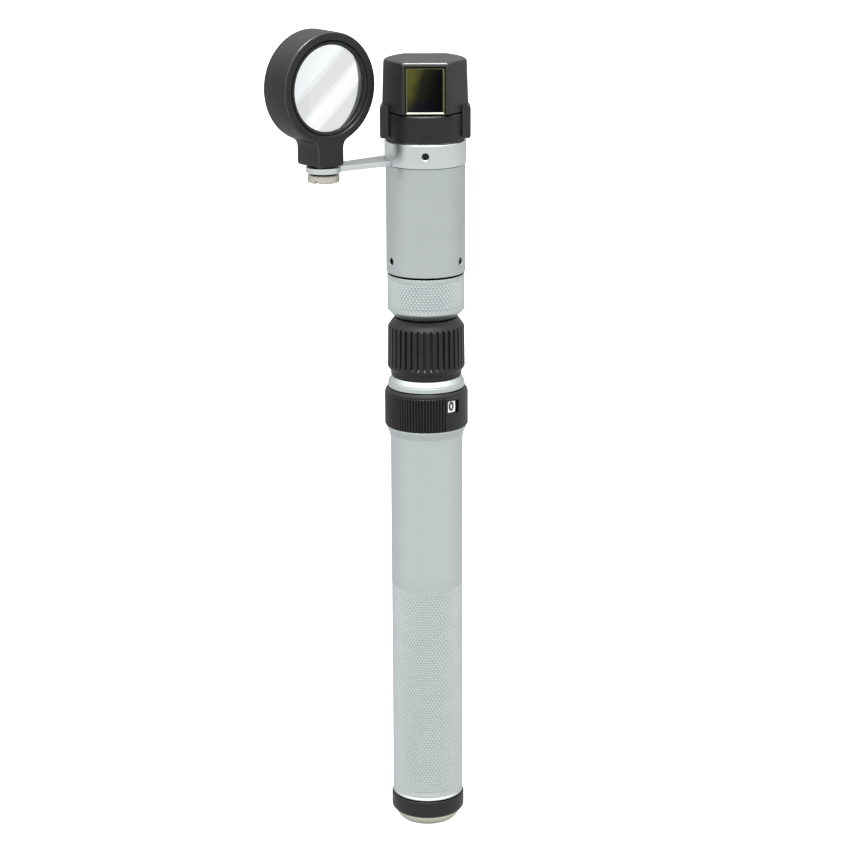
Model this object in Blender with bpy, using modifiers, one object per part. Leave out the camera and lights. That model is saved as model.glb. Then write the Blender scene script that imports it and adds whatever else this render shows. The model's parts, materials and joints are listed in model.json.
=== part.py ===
"""Hand-held slit lamp: a lamp head on a slim battery handle, with a loupe on a swivel arm.

The origin is the centre of the flat base, +Z runs up the handle, and the light leaves
the head towards -Y. Heights, radii and lengths are in millimetres, and the mesh helpers
turn them into metres. An azimuth is in degrees to the right of the front, seen from above.
"""

import math

import bmesh
import bpy

MM = 0.001
GAP = 0.2
ROUND_STEPS = 32
INNER_STEPS = 20

# Battery handle
TUBE_RADIUS = 9.5
TUBE_BORE = 7.6
TUBE_BOTTOM = 7.7
TUBE_TOP = 112.0
FLARE_START = 108.0
FLARE_RADIUS = 10.7
NECK_SPIGOT_RADIUS = 8.3
NECK_SPIGOT_BOTTOM = 104.2
NECK_RADIUS = 10.05
NECK_BOTTOM = 122.4
NECK_TOP = 125.3
SOCKET_RADIUS = 7.2
SOCKET_FLOOR = 119.6
GROOVE_RADIUS = 7.8
GROOVE_BOTTOM = 121.0
GROOVE_TOP = 122.2
LUG_WIDTH = 2.4

# Base cap and foot ring
CAP_RADIUS = 8.3
CAP_STUB_RADIUS = 7.1
CAP_THREAD_RADIUS = 7.4
CAP_THREAD_TOP = 11.2
FOOT_RADIUS = 9.8
FOOT_BOTTOM = 2.7
FOOT_TOP = 7.5
SPRING_PLATE_TOP = 11.8

# Battery cells
CELL_RADIUS = 7.25
CELL_LENGTH = 50.5
CELL_BOTTOM = 14.6

# Rheostat
RHEOSTAT_RADIUS = 10.95
RHEOSTAT_BORE = 9.5
RHEOSTAT_BOTTOM = 112.2
RHEOSTAT_TOP = 122.2
TRACK_RADIUS = 9.0
TRACK_BOTTOM = 114.4
TRACK_TOP = 118.6
DIAL_AZIMUTH = 40.5
DIAL_HEIGHT = 118.5

# Lamp head
HEAD_RADIUS = 10.3
HEAD_BORE = 8.7
HEAD_BOTTOM = 153.1
HEAD_TOP = 181.45
STEM_RADIUS = 7.9
STEM_BORE = 6.9
STEM_BOTTOM = 126.0
TURRET_SPIGOT_RADIUS = 9.5
TURRET_SPIGOT_TOP = 189.5
TUBE_SCREW_HEIGHT = 156.6
SCREW_RADIUS = 0.8
SLEEVE_RADIUS = 10.15
SLEEVE_TOP_RADIUS = 10.0
SLEEVE_BOTTOM = 125.5
SLEEVE_TOP = 141.0

# Slit control
SLIT_RING_RADIUS = 10.1
SLIT_RING_BOTTOM = 141.4
SLIT_RING_TOP = 152.65
DRIVE_HEIGHT = 146.8
DRIVE_TRAVEL = 90.0
DRIVE_MARGIN = 8.0

# Prism housing and filter cap
HOUSING_RADIUS = 10.45
HOUSING_BOTTOM = 187.95
HOUSING_TOP = 195.0
FILTER_BOTTOM = 195.4
FILTER_TOP = 208.4
FILTER_HALF_WIDTH = 11.1
FILTER_WIDEST_Y = -1.8
FILTER_FRONT = (5.95, -9.45)
FILTER_BACK = (5.8, 9.8)
FILTER_TAPER = 0.96
WINDOW_WIDTH = 10.3
WINDOW_TOP = 207.7
GLASS_WIDTH = 9.7
GLASS_BOTTOM = 195.45
GLASS_TOP = 207.0
CLIP_OUTER_X = 11.6
CLIP_INNER_X = 9.4
CLIP_BORE = 10.6
CLIP_WIDTH = 6.0
CLIP_BOTTOM = 188.55
CLIP_TOP = 196.9

# Loupe, its collar and its arm
COLLAR_RADIUS = 10.58
COLLAR_BORE = 9.7
COLLAR_BOTTOM = 181.6
COLLAR_TOP = 187.7
ARM_ROOT_ARC = (214.0, 163.4)
ARM_EYE_ARC = (80.0, 358.0)
ARM_EYE_RADIUS = 4.45
ARM_BOTTOM = 181.6
ARM_TOP = 183.0
PIVOT = (-25.75, -13.2)
LOUPE_TURN = 39.0
LOUPE_HEIGHT = 203.1
LOUPE_RADIUS = 14.15
LOUPE_FRONT = 3.45
LOUPE_BACK = -5.75
LOUPE_SEAT = 0.65
LOUPE_BORE = 11.88
LOUPE_LIP_BORE = 11.3
LOUPE_REAR_BORE = 13.1
LOUPE_STEM_HALF_WIDTH = 4.05
LOUPE_STEM_BOTTOM = 183.2
LOUPE_FILLET = 2.4
CLAMP_HOLE_RADIUS = 1.65
CLAMP_THREAD_TOP = 187.1
THUMB_RADIUS = 4.05
THUMB_BOTTOM = 179.1
THUMB_TOP = 181.1


# Scene helpers

def clear_scene():
    """Remove the objects of the scene that is open."""
    for item in list(bpy.data.objects):
        bpy.data.objects.remove(item)


def add_collection(name):
    """Make a collection in the scene."""
    collection = bpy.data.collections.new(name)
    bpy.context.scene.collection.children.link(collection)
    return collection


def add_piece(name, mesh, look):
    """Link a mesh as one of the slit lamp's pieces."""
    piece = bpy.data.objects.new(name, mesh)
    bpy.data.collections["slit_lamp"].objects.link(piece)
    mesh.materials.clear()
    mesh.materials.append(look)
    return piece


def as_cutter(piece):
    """Move a piece to the cutters, where it isn't rendered."""
    bpy.data.collections["slit_lamp"].objects.unlink(piece)
    bpy.data.collections["cutters"].objects.link(piece)
    piece.hide_render = True
    piece.display_type = "WIRE"
    return piece


def combine(piece, other, operation):
    """Cut or join a piece with another object by an exact Boolean."""
    boolean = piece.modifiers.new(operation.title(), "BOOLEAN")
    boolean.operation = operation
    boolean.solver = "EXACT"
    boolean.object = as_cutter(other)


def joint_empty(name, location, pieces, parent=None):
    """Put an empty on a joint's axis and parent the moving pieces to it."""
    empty = bpy.data.objects.new(name, None)
    empty.location = [value * MM for value in location]
    empty.empty_display_size = 0.005
    bpy.data.collections["slit_lamp"].objects.link(empty)
    bpy.context.view_layer.update()
    if parent:
        empty.parent = parent
        empty.matrix_parent_inverse = parent.matrix_world.inverted()
    for piece in pieces:
        piece.parent = empty
        piece.matrix_parent_inverse = empty.matrix_world.inverted()
    bpy.context.view_layer.update()
    return empty


# Mesh helpers

def turned(name, profile, look, steps=ROUND_STEPS):
    """Turn a (radius, height) profile about Z. It runs down the outer side."""
    hollow = profile[0][0] > 0
    edges = [(index, index + 1) for index in range(len(profile) - 1)]
    if hollow:
        edges.append((len(profile) - 1, 0))
    mesh = bpy.data.meshes.new(name)
    mesh.from_pydata([(radius * MM, 0, height * MM) for radius, height in profile], edges, [])
    piece = add_piece(name, mesh, look)
    screw = piece.modifiers.new("Turn", "SCREW")
    screw.steps = steps
    screw.render_steps = steps
    screw.use_merge_vertices = True
    screw.merge_threshold = 0.00001
    return piece


def block(name, size, centre, look, azimuth=0.0):
    """Make a box of the given size about a centre."""
    mesh = bpy.data.meshes.new(name)
    shape = bmesh.new()
    bmesh.ops.create_cube(shape, size=MM)
    bmesh.ops.scale(shape, vec=size, verts=shape.verts)
    shape.to_mesh(mesh)
    shape.free()
    piece = add_piece(name, mesh, look)
    piece.location = [value * MM for value in centre]
    piece.rotation_euler = (0, 0, math.radians(azimuth))
    return piece


def rod(name, radius, length, look):
    """Make a cylinder along the local Z, centred on its origin."""
    mesh = bpy.data.meshes.new(name)
    shape = bmesh.new()
    bmesh.ops.create_cone(
        shape, cap_ends=True, segments=INNER_STEPS,
        radius1=radius * MM, radius2=radius * MM, depth=length * MM)
    shape.to_mesh(mesh)
    shape.free()
    return add_piece(name, mesh, look)


def on_azimuth(radius, height, azimuth):
    """Give the point at a radius and a height on an azimuth."""
    angle = math.radians(azimuth)
    return (radius * math.sin(angle), -radius * math.cos(angle), height)


def radial_rod(name, radius, inner, outer, height, azimuth, look):
    """Make a rod that points away from the handle's axis."""
    piece = rod(name, radius, outer - inner, look)
    centre = on_azimuth((inner + outer) / 2, height, azimuth)
    piece.location = [value * MM for value in centre]
    piece.rotation_euler = (math.radians(90), 0, math.radians(azimuth))
    return piece


def upright_rod(name, radius, bottom, top, centre, look):
    """Make a rod that stands at an (x, y) place."""
    piece = rod(name, radius, top - bottom, look)
    piece.location = (centre[0] * MM, centre[1] * MM, (bottom + top) / 2 * MM)
    return piece


def arc(centre, radius, start, end, steps):
    """List the points of an arc, from one angle in degrees to another."""
    points = []
    for step in range(steps + 1):
        angle = math.radians(start + (end - start) * step / steps)
        points.append((centre[0] + radius * math.cos(angle), centre[1] + radius * math.sin(angle)))
    return points


def draw_curve(name, points, cyclic):
    """Make a curve object with one straight-sided spline."""
    curve = bpy.data.curves.new(name, "CURVE")
    spline = curve.splines.new("POLY")
    spline.points.add(len(points) - 1)
    for point, place in zip(spline.points, points):
        point.co = [value * MM for value in place] + [1.0]
    spline.use_cyclic_u = cyclic
    drawing = bpy.data.objects.new(name, curve)
    bpy.data.collections["slit_lamp"].objects.link(drawing)
    return drawing


def plate(name, outline, thickness, look):
    """Give a flat outline in the local XY plane its thickness, half to each side."""
    drawing = draw_curve(name, [(x, y, 0) for x, y in outline], True)
    drawing.data.dimensions = "2D"
    drawing.data.fill_mode = "BOTH"
    drawing.data.extrude = thickness * MM / 2
    graph = bpy.context.evaluated_depsgraph_get()
    mesh = bpy.data.meshes.new_from_object(drawing.evaluated_get(graph))
    bpy.data.objects.remove(drawing)
    shape = bmesh.new()
    shape.from_mesh(mesh)
    bmesh.ops.remove_doubles(shape, verts=shape.verts, dist=0.000001)
    bmesh.ops.recalc_face_normals(shape, faces=shape.faces)
    shape.to_mesh(mesh)
    shape.free()
    return add_piece(name, mesh, look)


def wire(name, points, radius, look):
    """Make a round wire along a path."""
    piece = draw_curve(name, points, False)
    piece.data.dimensions = "3D"
    piece.data.bevel_depth = radius * MM
    piece.data.bevel_resolution = 2
    piece.data.use_fill_caps = True
    piece.data.materials.append(look)
    return piece


# Materials

def principled(name, colour, roughness, metallic=0.0, transmission=0.0):
    """Give a Principled material, made once."""
    look = bpy.data.materials.get(name)
    if look:
        return look
    look = bpy.data.materials.new(name)
    look.use_nodes = True
    shader = look.node_tree.nodes["Principled BSDF"]
    shader.inputs["Base Color"].default_value = (*colour, 1.0)
    shader.inputs["Roughness"].default_value = roughness
    shader.inputs["Metallic"].default_value = metallic
    shader.inputs["Transmission Weight"].default_value = transmission
    return look


def satin_silver():
    return principled("satin_silver", (0.66, 0.69, 0.67), 0.34, metallic=1.0)


def black_plastic():
    return principled("black_plastic", (0.028, 0.030, 0.030), 0.42)


def nickel():
    return principled("nickel", (0.62, 0.60, 0.54), 0.28, metallic=1.0)


def brass():
    return principled("brass", (0.72, 0.52, 0.24), 0.30, metallic=1.0)


def spring_steel():
    return principled("spring_steel", (0.55, 0.56, 0.58), 0.30, metallic=1.0)


def optical_glass():
    return principled("optical_glass", (0.95, 0.97, 0.97), 0.02, transmission=1.0)


def filter_glass_look():
    return principled("filter_glass", (0.16, 0.13, 0.03), 0.05, transmission=0.8)


def cell_jacket():
    return principled("cell_jacket", (0.10, 0.22, 0.34), 0.35)


def white_plate():
    return principled("white_plate", (0.80, 0.80, 0.78), 0.50)


# Battery handle

def handle_tube():
    return turned("handle_tube", [
        (FLARE_RADIUS, TUBE_TOP),
        (TUBE_RADIUS, FLARE_START),
        (TUBE_RADIUS, TUBE_BOTTOM + 0.4),
        (TUBE_RADIUS - 0.4, TUBE_BOTTOM),
        (TUBE_BORE, TUBE_BOTTOM),
        (TUBE_BORE, NECK_SPIGOT_BOTTOM - GAP),
        (NECK_SPIGOT_RADIUS + GAP, NECK_SPIGOT_BOTTOM - GAP),
        (NECK_SPIGOT_RADIUS + GAP, TUBE_TOP),
    ], satin_silver())


def handle_neck():
    """The silver neck carries the bayonet socket and reaches down into the tube."""
    contact_bore = 3.4
    web_bottom = SOCKET_FLOOR - 2.0
    neck = turned("handle_neck", [
        (9.2, NECK_TOP),
        (9.75, NECK_TOP - 0.3),
        (NECK_RADIUS, NECK_TOP - 1.0),
        (NECK_RADIUS, NECK_BOTTOM),
        (NECK_SPIGOT_RADIUS, NECK_BOTTOM),
        (NECK_SPIGOT_RADIUS, NECK_SPIGOT_BOTTOM),
        (TUBE_BORE, NECK_SPIGOT_BOTTOM),
        (TUBE_BORE, web_bottom),
        (contact_bore, web_bottom),
        (contact_bore, SOCKET_FLOOR),
        (SOCKET_RADIUS, SOCKET_FLOOR),
        (SOCKET_RADIUS, GROOVE_BOTTOM),
        (GROOVE_RADIUS, GROOVE_BOTTOM),
        (GROOVE_RADIUS, GROOVE_TOP),
        (SOCKET_RADIUS, GROOVE_TOP),
        (SOCKET_RADIUS, NECK_TOP),
    ], satin_silver())
    entry_height = NECK_TOP + 1.0 - (GROOVE_TOP - 0.5)
    entry = block(
        "lug_entry", (2 * (GROOVE_RADIUS - 0.15), LUG_WIDTH + 0.8, entry_height),
        (0, 0, NECK_TOP + 1.0 - entry_height / 2), satin_silver(), azimuth=-50.0)
    combine(neck, entry, "DIFFERENCE")
    return neck


def contact_insulator():
    return turned("contact_insulator", [
        (3.2, 119.5), (3.2, 117.7), (1.65, 117.7), (1.65, 119.5),
    ], black_plastic(), INNER_STEPS)


def contact_pin():
    return turned("contact_pin", [
        (0, 119.9), (1.1, 119.9), (1.4, 119.6), (1.4, 117.5), (3.0, 117.5), (3.0, 116.1), (0, 116.1),
    ], brass(), INNER_STEPS)


def battery(name, bottom):
    """An AA cell, with its button at the top."""
    button_radius = 2.6
    shoulder = bottom + CELL_LENGTH - 1.2
    return turned(name, [
        (0, bottom + CELL_LENGTH),
        (button_radius, bottom + CELL_LENGTH),
        (button_radius, shoulder),
        (CELL_RADIUS - 0.3, shoulder),
        (CELL_RADIUS, shoulder - 0.3),
        (CELL_RADIUS, bottom + 0.3),
        (CELL_RADIUS - 0.3, bottom),
        (0, bottom),
    ], cell_jacket(), INNER_STEPS)


def rheostat_track():
    """The resistance winding is a split ring around the neck's spigot."""
    inner = NECK_SPIGOT_RADIUS + 0.15
    track = turned("rheostat_track", [
        (TRACK_RADIUS, TRACK_TOP), (TRACK_RADIUS, TRACK_BOTTOM), (inner, TRACK_BOTTOM), (inner, TRACK_TOP),
    ], brass())
    split = block("track_split", (2.0, 4.0, 6.0), (0, 9.0, 116.5), brass())
    combine(track, split, "DIFFERENCE")
    return track


# Rheostat

def dial_place(across, reach):
    """Give a place by its distance across the dial and its distance from the handle's axis."""
    x, y, height = on_azimuth(reach, DIAL_HEIGHT, DIAL_AZIMUTH)
    angle = math.radians(DIAL_AZIMUTH)
    return (x + across * math.cos(angle), y + across * math.sin(angle), height)


def rheostat_ring():
    ring = turned("rheostat_ring", [
        (10.3, RHEOSTAT_TOP),
        (RHEOSTAT_RADIUS, RHEOSTAT_TOP - 0.7),
        (RHEOSTAT_RADIUS, RHEOSTAT_BOTTOM + 0.1),
        (RHEOSTAT_RADIUS - 0.1, RHEOSTAT_BOTTOM),
        (RHEOSTAT_BORE, RHEOSTAT_BOTTOM),
        (RHEOSTAT_BORE, RHEOSTAT_TOP - 1.6),
        (NECK_SPIGOT_RADIUS + GAP, RHEOSTAT_TOP - 1.6),
        (NECK_SPIGOT_RADIUS + GAP, RHEOSTAT_TOP),
    ], black_plastic())
    pocket = block(
        "dial_pocket", (3.7, 3.0, 3.4), dial_place(0.0, 11.45),
        black_plastic(), azimuth=DIAL_AZIMUTH)
    combine(ring, pocket, "DIFFERENCE")
    return ring


def indicator_plate():
    return block(
        "indicator_plate", (2.75, 0.35, 3.0), dial_place(-0.35, 10.15),
        white_plate(), azimuth=DIAL_AZIMUTH)


def rheostat_wiper():
    return block(
        "rheostat_wiper", (2.0, 0.25, 3.0), on_azimuth(9.23, 116.5, 90.0), spring_steel(), azimuth=90.0)


# Base

def base_cap():
    return turned("base_cap", [
        (0, CAP_THREAD_TOP),
        (CAP_THREAD_RADIUS - 0.3, CAP_THREAD_TOP),
        (CAP_THREAD_RADIUS, CAP_THREAD_TOP - 0.3),
        (CAP_THREAD_RADIUS, FOOT_TOP + 0.3),
        (CAP_STUB_RADIUS, FOOT_TOP + 0.1),
        (CAP_STUB_RADIUS, FOOT_BOTTOM - 0.1),
        (CAP_RADIUS, FOOT_BOTTOM - 0.2),
        (CAP_RADIUS, 1.3),
        (CAP_RADIUS - 0.3, 0.75),
        (CAP_RADIUS - 0.9, 0.35),
        (CAP_RADIUS - 1.5, 0),
        (0, 0),
    ], satin_silver())


def foot_ring():
    return turned("foot_ring", [
        (FOOT_RADIUS - 0.2, FOOT_TOP),
        (FOOT_RADIUS, FOOT_TOP - 0.2),
        (FOOT_RADIUS, FOOT_BOTTOM + 0.6),
        (FOOT_RADIUS - 0.4, FOOT_BOTTOM),
        (CAP_STUB_RADIUS + GAP, FOOT_BOTTOM),
        (CAP_STUB_RADIUS + GAP, FOOT_TOP),
    ], black_plastic())


def spring_plate():
    bottom = CAP_THREAD_TOP + GAP
    return turned("spring_plate", [
        (0, SPRING_PLATE_TOP), (6.5, SPRING_PLATE_TOP), (6.5, bottom), (0, bottom),
    ], spring_steel(), INNER_STEPS)


def battery_spring():
    """A conical coil, wide on its plate and narrow under the lower cell."""
    turns = 3
    steps = 12 * turns
    wire_radius = 0.3
    low = SPRING_PLATE_TOP + wire_radius + 0.05
    high = CELL_BOTTOM - wire_radius - 0.05
    points = []
    for step in range(steps + 1):
        share = step / steps
        angle = 2 * math.pi * turns * share
        radius = 5.6 - 3.0 * share
        points.append((radius * math.cos(angle), radius * math.sin(angle), low + (high - low) * share))
    return wire("battery_spring", points, wire_radius, spring_steel())


# Lamp head

def screw_hole(radius_inside, radius_outside, height, azimuth):
    return radial_rod(
        "screw_hole", SCREW_RADIUS + 0.12, radius_inside, radius_outside, height, azimuth, satin_silver())


def drive_slot(azimuth):
    """A slot in the stem leaves the drive pin room for its whole turn."""
    start = azimuth - 90.0 - DRIVE_MARGIN
    end = azimuth - 90.0 + DRIVE_TRAVEL + DRIVE_MARGIN
    outline = arc((0, 0), STEM_BORE - 0.5, start, end, 12) + arc((0, 0), STEM_RADIUS + 0.5, end, start, 12)
    slot = plate("drive_slot", outline, 1.5, satin_silver())
    slot.location.z = DRIVE_HEIGHT * MM
    return slot


def head_tube():
    """The main tube has a slim stem below for the slit ring and a spigot above for the collar."""
    tube = turned("head_tube", [
        (TURRET_SPIGOT_RADIUS, TURRET_SPIGOT_TOP),
        (TURRET_SPIGOT_RADIUS, HEAD_TOP),
        (HEAD_RADIUS, HEAD_TOP),
        (HEAD_RADIUS, HEAD_BOTTOM),
        (STEM_RADIUS, HEAD_BOTTOM),
        (STEM_RADIUS, STEM_BOTTOM),
        (STEM_BORE, STEM_BOTTOM),
        (STEM_BORE, HEAD_BOTTOM + 1.7),
        (HEAD_BORE, HEAD_BOTTOM + 1.7),
        (HEAD_BORE, TURRET_SPIGOT_TOP),
    ], satin_silver())
    for azimuth in (-60.0, 60.0, 180.0):
        hole = screw_hole(HEAD_BORE - 0.7, HEAD_RADIUS + 0.7, TUBE_SCREW_HEIGHT, azimuth)
        combine(tube, hole, "DIFFERENCE")
    for azimuth in (0.0, 180.0):
        combine(tube, drive_slot(azimuth), "DIFFERENCE")
    return tube


def tube_screws():
    screws = []
    for number, azimuth in enumerate((-60.0, 60.0, 180.0), start=1):
        screws.append(radial_rod(
            f"tube_screw_{number}", SCREW_RADIUS, HEAD_BORE + 0.1, HEAD_RADIUS - 0.25,
            TUBE_SCREW_HEIGHT, azimuth, spring_steel()))
    return screws


def locking_sleeve():
    bore = STEM_RADIUS + GAP
    return turned("locking_sleeve", [
        (bore + 0.15, SLEEVE_TOP),
        (SLEEVE_TOP_RADIUS - 0.35, SLEEVE_TOP - 1.9),
        (SLEEVE_TOP_RADIUS, SLEEVE_TOP - 2.5),
        (SLEEVE_RADIUS, SLEEVE_BOTTOM + 2.5),
        (9.4, SLEEVE_BOTTOM + 1.0),
        (9.4, SLEEVE_BOTTOM),
        (bore, SLEEVE_BOTTOM),
        (bore, SLEEVE_TOP),
    ], black_plastic())


def head_plug():
    """The bayonet plug carries the lamp, and its two lugs run in the socket's groove."""
    plug_top = 131.0
    plug = turned("head_plug", [
        (STEM_BORE - GAP, plug_top),
        (STEM_BORE - GAP, STEM_BOTTOM - 0.15),
        (SOCKET_RADIUS - GAP, STEM_BOTTOM - 0.15),
        (SOCKET_RADIUS - GAP, SOCKET_FLOOR + 0.4),
        (5.4, SOCKET_FLOOR + 0.4),
        (5.4, plug_top),
    ], brass())
    for side in (-1, 1):
        lug = block(
            "lug", (1.0, LUG_WIDTH, GROOVE_TOP - GROOVE_BOTTOM - 0.4),
            (side * (GROOVE_RADIUS - 0.8), 0, (GROOVE_BOTTOM + GROOVE_TOP) / 2), brass())
        combine(plug, lug, "UNION")
    return plug


def lamp_base():
    return turned("lamp_base", [
        (0, 127.0), (4.9, 127.0), (5.2, 126.7), (5.2, 121.2), (1.5, 121.2), (1.5, 120.1), (0, 120.1),
    ], nickel(), INNER_STEPS)


def lamp_bulb():
    """The bulb's thin glass is open where it stands on its base."""
    outer = [(0, 137.5), (1.7, 136.9), (2.7, 135.6), (3.0, 133.8), (3.0, 127.15)]
    inner = [(2.6, 127.15), (2.6, 133.7), (2.3, 135.2), (1.4, 136.4), (0, 136.9)]
    return turned("lamp_bulb", outer + inner, optical_glass(), INNER_STEPS)


def lamp_filament():
    """Two posts carry a short bridge wire."""
    return wire("lamp_filament", [
        (-1.1, 0, 127.2), (-1.1, 0, 133.0), (-0.6, 0, 133.8), (0, 0, 133.2), (0.6, 0, 133.8),
        (1.1, 0, 133.0), (1.1, 0, 127.2),
    ], 0.15, spring_steel())


def biconvex(name, radius, edge_bottom, edge_top, bulge):
    """A lens with a ground edge and the same bulge on both faces."""
    half_way = (radius * 0.6, bulge * 0.64)
    return turned(name, [
        (0, edge_top + bulge),
        (half_way[0], edge_top + half_way[1]),
        (radius, edge_top),
        (radius, edge_bottom),
        (half_way[0], edge_bottom - half_way[1]),
        (0, edge_bottom - bulge),
    ], optical_glass(), INNER_STEPS)


def slit_carrier():
    return turned("slit_carrier", [
        (6.6, 145.2), (6.6, 144.4), (2.6, 144.4), (2.6, 145.2),
    ], black_plastic(), INNER_STEPS)


def objective_ring():
    return turned("objective_ring", [
        (8.45, 177.0), (8.45, 175.0), (6.8, 175.0), (6.8, 177.0),
    ], black_plastic(), INNER_STEPS)


def prism_housing():
    """The black ring above the collar carries the prism, and is notched for the clips' feet."""
    ring = turned("prism_housing", [
        (HOUSING_RADIUS - 0.2, HOUSING_TOP),
        (HOUSING_RADIUS, HOUSING_TOP - 0.2),
        (HOUSING_RADIUS, HOUSING_BOTTOM),
        (TURRET_SPIGOT_RADIUS + GAP, HOUSING_BOTTOM),
        (TURRET_SPIGOT_RADIUS + GAP, TURRET_SPIGOT_TOP + GAP),
        (4.4, TURRET_SPIGOT_TOP + GAP),
        (4.4, HOUSING_TOP),
    ], black_plastic())
    notch_top = 190.3
    notch_bottom = HOUSING_BOTTOM - 1.0
    for side in (-1, 1):
        notch = block(
            "clip_notch", (2.0, CLIP_WIDTH + 1.0, notch_top - notch_bottom),
            (side * (HOUSING_RADIUS + 0.5), FILTER_WIDEST_Y, (notch_top + notch_bottom) / 2),
            black_plastic())
        combine(ring, notch, "DIFFERENCE")
    return ring


def prism_cage():
    """The cage holds the prism by its sides, and is open below and in front."""
    bottom = HOUSING_TOP + GAP
    top = 206.6
    cage = block(
        "prism_cage", (12.0, 13.0, top - bottom), (0, 0, (bottom + top) / 2), black_plastic())
    hollow_top = 205.4
    hollow_bottom = bottom - 1.0
    hollow = block(
        "cage_hollow", (9.6, 12.7, hollow_top - hollow_bottom),
        (0, -1.2, (hollow_bottom + hollow_top) / 2), black_plastic())
    combine(cage, hollow, "DIFFERENCE")
    return cage


def prism():
    """A right-angle prism turns the beam from +Z to -Y."""
    side = 9.2
    outline = [(-side / 2, 0), (side / 2, 0), (-side / 2, side)]
    piece = plate("prism", outline, 9.2, optical_glass())
    piece.location.z = (HOUSING_TOP + 2 * GAP) * MM
    piece.rotation_euler = (math.radians(90), 0, math.radians(90))
    return piece


# Slit control

def slit_ring():
    bore = STEM_RADIUS + GAP
    ring = turned("slit_ring", [
        (SLIT_RING_RADIUS - 0.2, SLIT_RING_TOP),
        (SLIT_RING_RADIUS, SLIT_RING_TOP - 0.2),
        (SLIT_RING_RADIUS, SLIT_RING_BOTTOM + 1.9),
        (bore + 0.2, SLIT_RING_BOTTOM),
        (bore, SLIT_RING_BOTTOM),
        (bore, SLIT_RING_TOP),
    ], satin_silver())
    for azimuth in (0.0, 180.0):
        hole = radial_rod("pin_hole", 0.62, bore - 0.7, 9.4, DRIVE_HEIGHT, azimuth, satin_silver())
        combine(ring, hole, "DIFFERENCE")
    return ring


def cam_disc():
    return turned("cam_disc", [
        (6.5, 147.4), (6.5, 146.2), (3.2, 146.2), (3.2, 147.4),
    ], brass(), INNER_STEPS)


def drive_pins():
    pins = []
    for number, azimuth in enumerate((0.0, 180.0), start=1):
        pins.append(radial_rod(
            f"drive_pin_{number}", 0.5, 6.6, 9.3, DRIVE_HEIGHT, azimuth, spring_steel()))
    return pins


def slit_blade(name, side):
    """A blade covers its half of the aperture and slides out to open the slit."""
    return block(name, (3.9, 5.6, 0.3), (side * 2.05, 0, 145.6), spring_steel())


# Loupe, collar and arm

def loupe_collar():
    collar = turned("loupe_collar", [
        (COLLAR_RADIUS - 0.15, COLLAR_TOP),
        (COLLAR_RADIUS, COLLAR_TOP - 0.15),
        (COLLAR_RADIUS, COLLAR_BOTTOM + 0.15),
        (COLLAR_RADIUS - 0.15, COLLAR_BOTTOM),
        (COLLAR_BORE, COLLAR_BOTTOM),
        (COLLAR_BORE, COLLAR_TOP),
    ], satin_silver())
    hole = screw_hole(COLLAR_BORE - 0.7, COLLAR_RADIUS + 0.7, 184.8, 0.0)
    combine(collar, hole, "DIFFERENCE")
    return collar


def collar_screw():
    return radial_rod(
        "collar_screw", SCREW_RADIUS, COLLAR_BORE + 0.05, COLLAR_RADIUS - 0.2, 184.8, 0.0, spring_steel())


def loupe_arm():
    """A flat bar narrows from the collar to a round eye on the pivot."""
    outline = arc(PIVOT, ARM_EYE_RADIUS, *ARM_EYE_ARC, 18)
    outline += arc((0, 0), COLLAR_RADIUS + 0.07, *ARM_ROOT_ARC, 6)
    arm = plate("loupe_arm", outline, ARM_TOP - ARM_BOTTOM, satin_silver())
    arm.location.z = (ARM_BOTTOM + ARM_TOP) / 2 * MM
    hole = upright_rod("eye_hole", CLAMP_HOLE_RADIUS, ARM_BOTTOM - 1.0, ARM_TOP + 1.0, PIVOT, satin_silver())
    combine(arm, hole, "DIFFERENCE")
    return arm


def face_loupe(piece, forward=0.0):
    """Stand a piece made in the local XY plane at the loupe's centre, facing the front right."""
    place = on_azimuth(forward, LOUPE_HEIGHT, LOUPE_TURN)
    piece.location = ((PIVOT[0] + place[0]) * MM, (PIVOT[1] + place[1]) * MM, place[2] * MM)
    piece.rotation_euler = (math.radians(90), 0, math.radians(LOUPE_TURN))
    return piece


def loupe_outline():
    """A circle runs through two concave fillets into a stem with rounded corners."""
    fillet_x = LOUPE_STEM_HALF_WIDTH + LOUPE_FILLET
    reach = LOUPE_RADIUS + LOUPE_FILLET
    fillet_y = -math.sqrt(reach ** 2 - fillet_x ** 2)
    turn = math.degrees(math.atan2(fillet_y, fillet_x))
    bottom = LOUPE_STEM_BOTTOM - LOUPE_HEIGHT
    outline = arc((0, 0), LOUPE_RADIUS, turn, 180.0 - turn, 36)
    outline += arc((-fillet_x, fillet_y), LOUPE_FILLET, -turn, 0.0, 5)
    corner = 1.0
    corner_x = LOUPE_STEM_HALF_WIDTH - corner
    outline += arc((-corner_x, bottom + corner), corner, 180.0, 270.0, 4)
    outline += arc((corner_x, bottom + corner), corner, 270.0, 360.0, 4)
    outline += arc((fillet_x, fillet_y), LOUPE_FILLET, 180.0, 180.0 + turn, 5)
    return outline


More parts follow.
